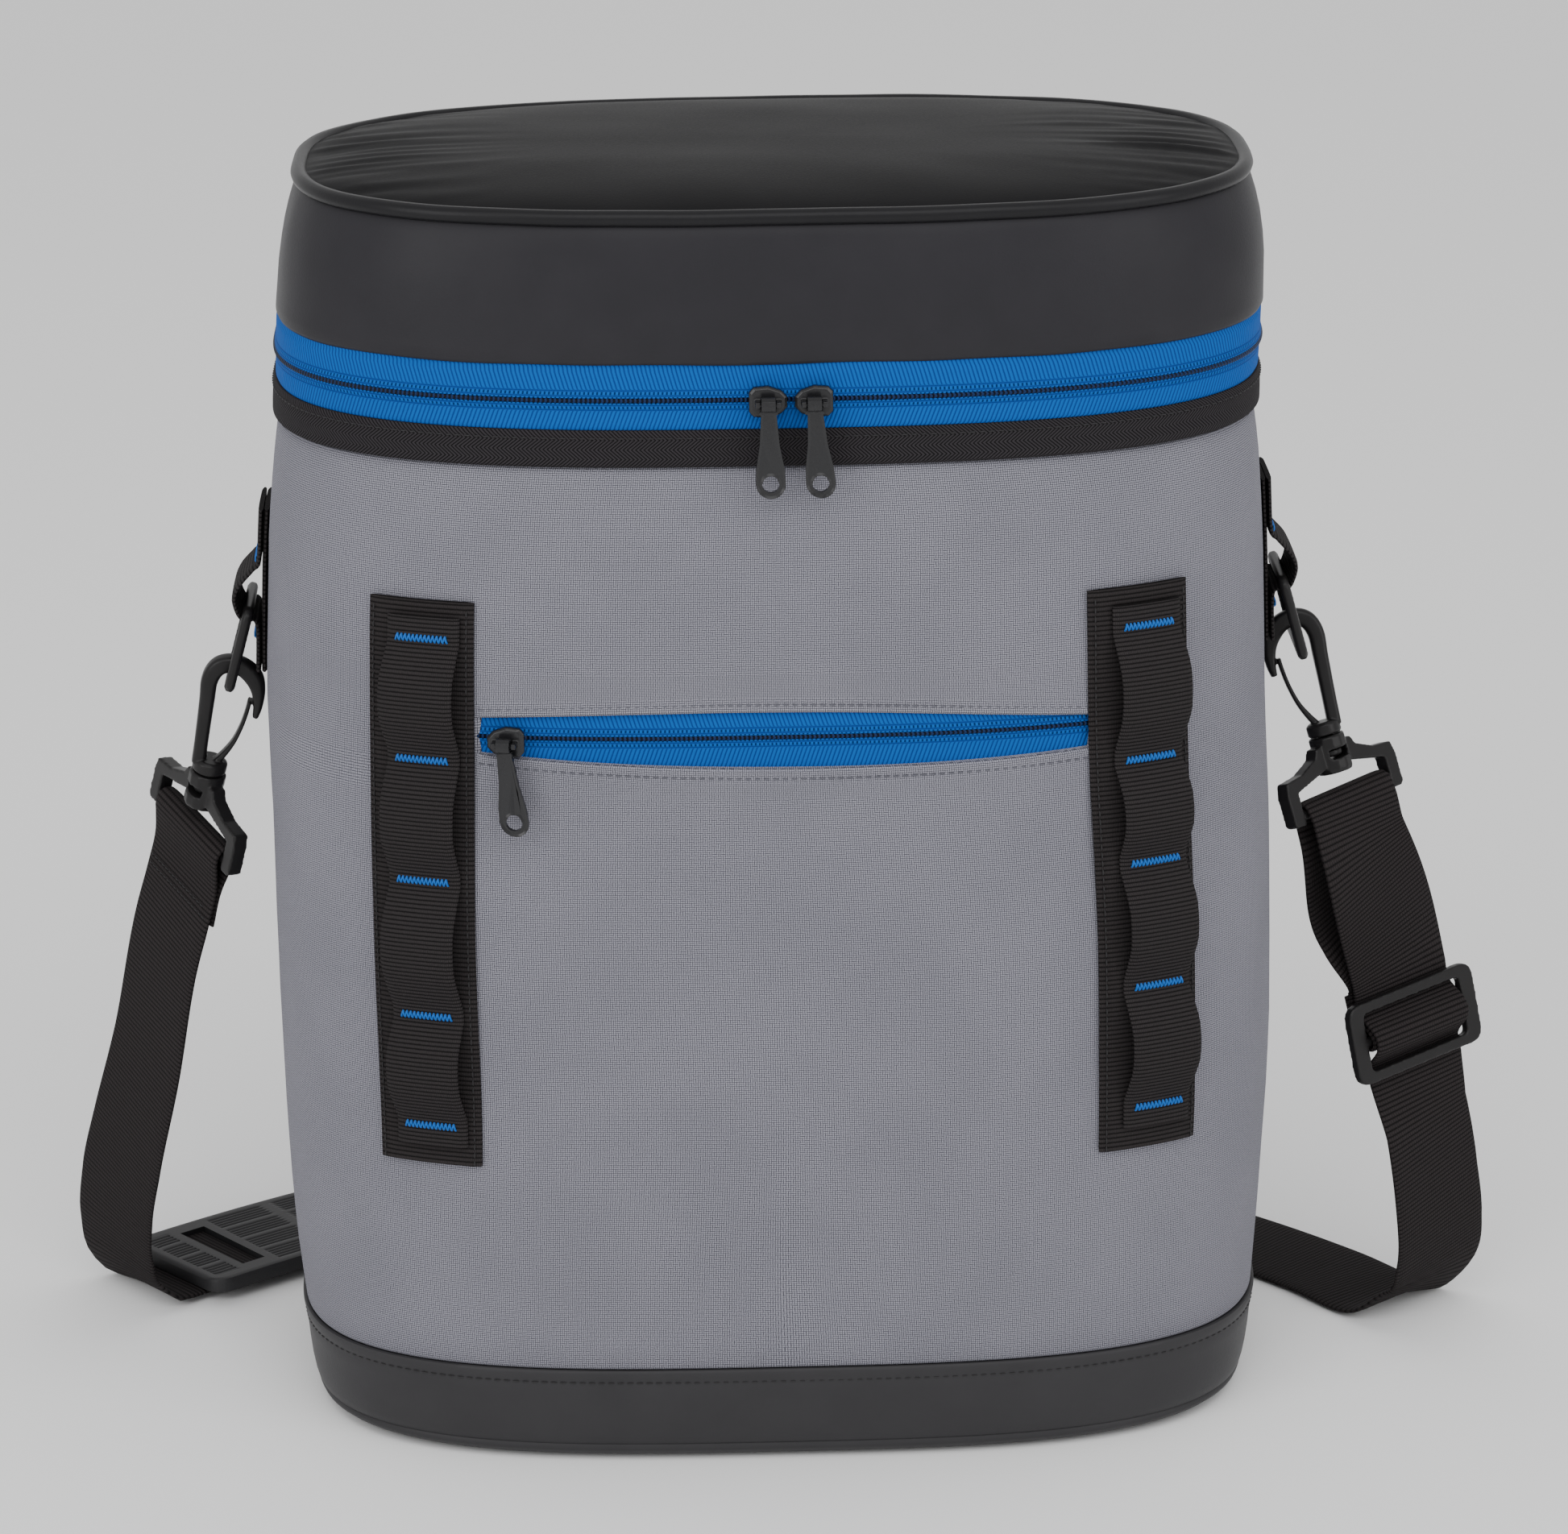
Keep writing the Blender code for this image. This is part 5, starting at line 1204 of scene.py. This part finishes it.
# %% The strap's route
STRAP_WIDTH = 38 * MM
STRAP = 1.6 * MM
GAP = 0.3 * MM
BAR = 4 * MM
BAR_DROP = 20.6 * MM
STRAP_REACH, STRAP_SETBACK = 35.5 * MM, 49 * MM
RIGHT_REACH, RIGHT_SETBACK = 34.5 * MM, 24 * MM
REAR_ROOM = 54 * MM
FOLD_BACK = 25 * MM
PAD_LENGTH, PAD, PAD_START = 222 * MM, 4.5 * MM, 8 * MM
BANK = math.radians(2.0)
SLIDER_HEIGHT, SLIDER_RIM, SLIDER_DEPTH, MIDDLE_BAR = 26 * MM, 3.6 * MM, 3 * MM, 3.2 * MM
LAID_FLAT = GAP + STRAP / 2
LAID_BANKED = LAID_FLAT + STRAP_WIDTH / 2 * math.sin(BANK)
PAD_MIDDLE = LAID_BANKED + STRAP / 2 + GAP + PAD / 2
LEFT_DROP = [
    dict(out=0.30, back=0.13, height=0.790, turn=0.06), dict(out=0.57, back=0.34, height=0.533, turn=0.30),
    dict(out=0.80, back=0.55, height=0.350, turn=0.60), dict(out=0.94, back=0.73, height=0.220, turn=0.80),
    dict(out=0.98, back=0.85, height=0.125, turn=0.92), dict(out=0.92, back=0.94, height=0.050, turn=1.00),
]
RIGHT_DROP = [
    dict(out=0.84, back=0.05, height=0.410, turn=0.00), dict(out=0.97, back=0.20, height=0.270, turn=0.15),
    dict(out=1.04, back=0.48, height=0.150, turn=0.40), dict(out=1.00, back=0.80, height=0.065, turn=0.80),
]


def strap_bar(side):
    """Frame of a strap bar, below the place where its hook turns."""
    facts = HOOKS[side]
    return frame_at(facts["place"], facts["bar"], facts["up"]) @ Matrix.Translation((0, 0, -BAR_DROP))


LEFT_BAR, RIGHT_BAR = strap_bar("left"), strap_bar("right")
SLIDER_PLACE = frame_at((200.409, -1.821, 105.489), (-0.82218, -0.56181, -0.09163), (-0.18208, 0.10705, 0.97744))
print("bars in mm:", [round(v / MM) for v in LEFT_BAR.translation], [round(v / MM) for v in RIGHT_BAR.translation])


# %% The course on the floor
def heading(degrees):
    """Direction on the floor."""
    return Vector((math.cos(math.radians(degrees)), math.sin(math.radians(degrees)), 0))


class Course:
    """The strap's course along the floor, round the back of the bag, measured by its length."""

    def __init__(self, start, start_heading, end, end_heading):
        peak = HALF_DEPTH + REAR_ROOM
        rise = start_heading.y + abs(end_heading.y)
        handle = (peak - (start.y + end.y) / 2) / (0.375 * rise)
        controls = [start, start + start_heading * handle, end - end_heading * handle, end]
        self.spots = []
        for i in range(601):
            t = i / 600
            weights = ((1 - t) ** 3, 3 * t * (1 - t) ** 2, 3 * t * t * (1 - t), t ** 3)
            self.spots.append(sum((w * p for w, p in zip(weights, controls)), Vector()))
        self.lengths = [0.0]
        for a, b in zip(self.spots, self.spots[1:]):
            self.lengths.append(self.lengths[-1] + (b - a).length)
        self.total = self.lengths[-1]

    def at(self, length):
        """Place on the floor and direction ahead at a length along the course."""
        i = 0
        while i < len(self.lengths) - 2 and self.lengths[i + 1] < length:
            i += 1
        ahead = (self.spots[i + 1] - self.spots[i]).normalized()
        return self.spots[i] + ahead * (length - self.lengths[i]), ahead

    def station(self, length, height, bank):
        """Point and across direction, with the edge next to the bag raised."""
        spot, ahead = self.at(length)
        across = Vector((ahead.y, -ahead.x, 0)) * math.cos(bank) + Vector((0, 0, math.sin(bank)))
        return Vector((spot.x, spot.y, height)), across


def drop_knots(bar, rows, reach, setback, sign, last_across):
    """Knots of a hanging stretch below a strap bar."""
    middle = bar.translation
    along = (bar @ Vector((1, 0, 0)) - middle).normalized()
    knots = []
    for row in rows:
        spot = Vector((middle.x + sign * reach * row["out"], middle.y + setback * row["back"],
                       middle.z * row["height"]))
        knots.append((spot, along.lerp(last_across, row["turn"]).normalized()))
    return knots


def in_frame(place, spots):
    """Stations at places given as depth and height in a bar's frame, across along its bar."""
    across = (place @ Vector((1, 0, 0)) - place.translation).normalized()
    return [(place @ Vector((0, y, z)), across) for y, z in spots]


def over_bar(front):
    """Depths and heights of the strap's middle line over its bar, from the front layer back."""
    turn = BAR / 2 + SEAT * MM + STRAP / 2
    arc = [math.radians(angle) for angle in (0, 36, 72, 108, 144, 180)]
    return [(front * turn * math.cos(t), turn * math.sin(t)) for t in arc]


def smooth_line(knots, step):
    """Smooth curve through knots of point and across direction, with a station about every step."""
    points = [point for point, _ in knots]
    spans = [(b - a).length for a, b in zip(points, points[1:])]
    slopes = [(b - a) / span for a, b, span in zip(points, points[1:], spans)]
    speeds = [slopes[0]]
    for i in range(1, len(slopes)):
        total = spans[i - 1] + spans[i]
        speeds.append((slopes[i - 1] * spans[i] + slopes[i] * spans[i - 1]) / total)
    speeds.append(slopes[-1])
    stations = []
    for i, span in enumerate(spans):
        pieces = max(1, round(span / step))
        for k in range(pieces):
            t = k / pieces
            spot = bend(t, points[i], points[i + 1], span * speeds[i], span * speeds[i + 1])
            stations.append((spot, knots[i][1].lerp(knots[i + 1][1], t).normalized()))
    return stations + [knots[-1]]


COURSE = Course(Vector((LEFT_BAR.translation.x - STRAP_REACH * 0.70, LEFT_BAR.translation.y + STRAP_SETBACK, 0)),
                heading(40.0),
                Vector((RIGHT_BAR.translation.x + RIGHT_REACH * 0.70, RIGHT_BAR.translation.y + RIGHT_SETBACK, 0)),
                -heading(127.0))
print("course on the floor in mm:", round(COURSE.total / MM))

# %% [markdown]
# A web has selvedges, so its section is a flat oval: nine places across, close together at
# both edges, where the thickness falls to a third. The same section follows every station of
# the route, and no part of it goes below the floor.

# %% Strap helper
# Rows of the section: share of the width, share of the thickness
SECTION = [(0.0, 0.35), (0.025, 0.85), (0.1, 1.0), (0.3, 1.0), (0.5, 1.0), (0.7, 1.0), (0.9, 1.0), (0.975, 0.85),
           (1.0, 0.35)]


def strap_web(name, stations, replaces):
    """Flat web through stations of point and across direction."""
    rings, gone = [], [0.0]
    last = len(stations) - 1
    for i, (point, across) in enumerate(stations):
        ahead = stations[min(i + 1, last)][0] - stations[max(i - 1, 0)][0]
        if i:
            gone.append(gone[-1] + (point - stations[i - 1][0]).length / MM)
        side = across
        if 0 < i < last:
            side = (across - ahead.normalized() * across.dot(ahead.normalized())).normalized()
        normal = side.cross(ahead).normalized()
        over = [point + side * (t - 0.5) * STRAP_WIDTH + normal * STRAP / 2 * k for t, k in SECTION]
        under = [point + side * (t - 0.5) * STRAP_WIDTH - normal * STRAP / 2 * k for t, k in SECTION]
        ring = over + under[::-1]
        lift = Vector((0, 0, max(0.0, GAP - min(p.z for p in ring))))
        rings.append([p + lift for p in ring])
    count = len(rings[0])
    across_mm = [t * 38.0 for t, _ in SECTION]
    across_mm += across_mm[::-1]
    bm = sheet_mesh(rings, lambda i, j: gone[i], lambda i, j: across_mm[j % count], wrap=True)
    fill_row(bm, 0, count)
    fill_row(bm, last, count)
    return piece(name, bm, STRAP_WEBBING, replaces=replaces, slot="black_webbing")


# %% Left and right strap
def left_strap():
    """From the left bar, folded round it and sewn, down and under the pad."""
    close = (STRAP + GAP) / 2
    turn = BAR / 2 + SEAT * MM + STRAP / 2
    tail = [(close, -FOLD_BACK), (close, -3.6 * turn), (0.75 * turn, -1.5 * turn)]
    front = [(-0.75 * turn, -1.5 * turn), (-close, -3.6 * turn), (-close, -FOLD_BACK)]
    knots = in_frame(LEFT_BAR, tail + over_bar(-1)[::-1] + front)
    reach = (PAD_LENGTH - GAP) / 2
    lengths = [0.0, 0.4 * PAD_START, 0.8 * PAD_START]
    lengths += [PAD_START + reach * i / 12 for i in range(1, 13)]
    laid = [COURSE.station(length, LAID_BANKED, BANK) for length in lengths]
    knots += drop_knots(LEFT_BAR, LEFT_DROP, STRAP_REACH, STRAP_SETBACK, -1, laid[0][1]) + laid
    strap_web("strap_web_left", smooth_line(knots, 2.5 * MM), ["strap_left"])
    out = (LEFT_BAR @ Vector((0, -1, 0)) - LEFT_BAR.translation).normalized()
    for n, down in enumerate((-19.5, -22.6)):
        line = [(LEFT_BAR @ Vector((x * MM, -close - STRAP / 2, down * MM)), out) for x in spread(-16.5, 16.5, 33)]
        stitches("fold_stitches_%d" % n, line, BLACK_THREAD, 2.2, 1.7)


def right_strap():
    """From the join under the pad, up through the slider, round the right bar and back."""
    knots = []
    start = PAD_START + (PAD_LENGTH + GAP) / 2
    end = PAD_START + PAD_LENGTH + STRAP
    knots += [COURSE.station(start + (end - start) * i / 6, LAID_BANKED, BANK) for i in range(7)]
    flat_from = end + STRAP_WIDTH
    knots += [COURSE.station(flat_from + (COURSE.total - flat_from) * i / 6, LAID_FLAT, 0.0) for i in range(7)]
    knots += drop_knots(RIGHT_BAR, RIGHT_DROP, RIGHT_REACH, RIGHT_SETBACK, 1, knots[-1][1])[::-1]
    edge = SLIDER_HEIGHT / 2 - SLIDER_RIM
    behind = -(SLIDER_DEPTH / 2 + GAP + STRAP / 2)
    wrap = MIDDLE_BAR / 2 + SEAT * MM + STRAP / 2
    apart = STRAP + GAP
    front = wrap + apart
    rise = [(behind, 1.6 * edge), (behind, 0.96 * edge), (0, 0.66 * edge), (0.72 * front, 0.35 * edge)]
    rise = [(y, -z) for y, z in rise] + [(front, 0)] + rise[::-1]
    knots += in_frame(SLIDER_PLACE, rise)
    turn = BAR / 2 + SEAT * MM + STRAP / 2
    knots += in_frame(RIGHT_BAR, [(turn, -4 * turn)] + over_bar(1) + [(-1.3 * turn, -3 * turn)])
    belly = RIGHT_BAR.translation.lerp(SLIDER_PLACE.translation, 0.5)
    forward = RIGHT_BAR @ Vector((0, -1, 0)) - RIGHT_BAR.translation
    knots.append((belly + forward * STRAP_WIDTH * 0.24, knots[-1][1]))
    low = 0.7 * wrap
    fall = [(behind - 1.6 * apart, 1.9 * edge), (behind - 1.2 * apart, 0.915 * edge),
            (behind, 0.63 * edge), (low, low), (wrap, 0), (low, -low), (0, -wrap), (-low, -low),
            (-1.3 * wrap, 0.2 * wrap), (behind - 1.2 * apart, 0.34 * edge),
            (behind - 2.25 * apart, 0.85 * edge), (behind - 2.6 * apart, 1.5 * edge)]
    knots += in_frame(SLIDER_PLACE, fall)
    strap_web("strap_web_right", smooth_line(knots, 2.0 * MM), ["strap_right"])


left_strap()
right_strap()

# %% [markdown]
# The shoulder pad is a moulded rubber strip. Four rows of blocks cross it, each with five fine
# grooves, and smooth channels part the blocks. Near each end a slot lets the strap show. Its
# grooves are real: the upper face is a fine grid, and each point of it is lowered by the depth
# of the pattern there.

# %% Shoulder pad
PAD_LONG, PAD_HALF, PAD_CORNER, PAD_ROUND = 222.0, 26.0, 7.0, 1.4
ROWS, ROW_PITCH, ROW_EDGE, ROW_MARGIN = 4, 11.5, -23.0, 0.9
GROOVE_PITCH, GROOVE_DEPTH = 1.94, 0.55
TIP_START, TIP_END, TIP_HALF = 3.6, 12.5, 21.0
SLOT_START, SLOT_END, SLOT_HALF = 16.0, 25.0, 18.4
BLOCK_START, BLOCK_PITCH, BLOCK = 28.5, 23.6, 19.6


def pad_height(length, offset):
    """Height of the pad's upper face against its full thickness, in millimetres."""
    end = min(length, PAD_LONG - length)
    height = 0.0
    for edge in (PAD_HALF - abs(offset), end):
        height -= 1.2 * max(0.0, 1 - edge / PAD_ROUND) ** 2
    row, across = divmod(offset - ROW_EDGE, ROW_PITCH)
    in_row = 0 <= row < ROWS and ROW_MARGIN < across < ROW_PITCH - ROW_MARGIN
    in_block = end > BLOCK_START and (length - BLOCK_START) % BLOCK_PITCH < BLOCK
    in_tip = TIP_START < end < TIP_END and abs(offset) < TIP_HALF
    if in_row and (in_block or in_tip):
        height -= GROOVE_DEPTH * math.sin(math.pi * (across - ROW_MARGIN) / GROOVE_PITCH) ** 4
    return height


def pad_share(length):
    """Half width of the pad against its full one, with rounded corners at its two ends."""
    missing = max(PAD_CORNER - min(length, PAD_LONG - length), 0.0)
    return (PAD_HALF - PAD_CORNER + math.sqrt(PAD_CORNER ** 2 - missing ** 2)) / PAD_HALF


def pad_spot(length, offset, height):
    """Point at a length, offset and height above the pad's middle, all in millimetres."""
    distance = PAD_START + length * MM
    middle, across = COURSE.station(distance, PAD_MIDDLE, BANK)
    up = across.cross(COURSE.at(distance)[1]).normalized()
    return middle + across * offset * MM + up * height * MM


def shoulder_pad():
    lengths = [0.0, 0.25, 0.7, 1.3, 2.0, 2.8, 3.5, 3.7] + spread(4.4, 12.4, 8) + [12.6, 14.0, 15.4]
    lengths += spread(SLOT_START, SLOT_END, 5) + [25.6, 26.6, 28.3, 28.6] + spread(29.8, PAD_LONG / 2, 66)
    lengths += [PAD_LONG - length for length in lengths[-2::-1]]
    side = [23.3, 24.4, 25.2, PAD_HALF]
    offsets = [-o for o in side[::-1]] + side
    offsets[4:4] = [ROW_EDGE + ROW_MARGIN + ROW_PITCH * row + GROOVE_PITCH / 4 * k
                    for row in range(ROWS) for k in range(21)]
    half = PAD / MM / 2
    bm = bmesh.new()
    uv = bm.loops.layers.uv.new("UVMap")
    top, low = [], []
    for length in lengths:
        share = pad_share(length)
        top.append([bm.verts.new(pad_spot(length, o * share, half + pad_height(length, o))) for o in offsets])
        low.append([bm.verts.new(pad_spot(length, o * share, -half)) for o in offsets])
    kept = set()
    for i in range(len(lengths) - 1):
        middle = (lengths[i] + lengths[i + 1]) / 2
        in_slot = SLOT_START < min(middle, PAD_LONG - middle) < SLOT_END
        kept |= {(i, j) for j in range(len(offsets) - 1)
                 if not (in_slot and abs(offsets[j] + offsets[j + 1]) / 2 < SLOT_HALF)}

    def face(corners, places):
        made = bm.faces.new(corners)
        for loop, (i, j) in zip(made.loops, places):
            loop[uv].uv = (lengths[i], offsets[j])

    for i, j in kept:
        corners = [(i, j), (i, j + 1), (i + 1, j + 1), (i + 1, j)]
        face([top[a][b] for a, b in corners], corners)
        face([low[a][b] for a, b in corners[::-1]], corners[::-1])
        for n, beside in enumerate(((i - 1, j), (i, j + 1), (i + 1, j), (i, j - 1))):
            if beside not in kept:
                (a, b), (c, d) = corners[n], corners[(n + 1) % 4]
                face([top[c][d], top[a][b], low[a][b], low[c][d]], [(c, d), (a, b), (a, b), (c, d)])
    bmesh.ops.delete(bm, geom=[v for v in bm.verts if not v.link_faces], context="VERTS")
    bmesh.ops.recalc_face_normals(bm, faces=bm.faces[:])
    return piece("pad_rubber", bm, RUBBER, replaces=["shoulder_pad"], slot="black_rubber", smooth=35)


def slot_web(name, place):
    """The strap as it shows in a slot of the pad, a little below the pad's upper face."""
    section = [(-4.2, -3.2), (-4.2, -1.9), (-3.8, -1.6), (3.8, -1.6), (4.2, -1.9), (4.2, -3.2)]
    offsets = spread(-18.0, 18.0, 36)
    points = [[pad_spot(place + length, o, PAD / MM / 2 + height) for o in offsets] for length, height in section]
    bm = sheet_mesh(points, lambda i, j: section[i][0], lambda i, j: offsets[j], close=True)
    return piece(name, bm, STRAP_WEBBING)


pad = shoulder_pad()
for name, place in (("slot_web_near", 20.5), ("slot_web_far", PAD_LONG - 20.5)):
    slot_web(name, place)
print("pad faces:", len(pad.data.polygons))

# %% [markdown]
# Cloth may stand a little proud of the packed model, but the bag keeps its size.
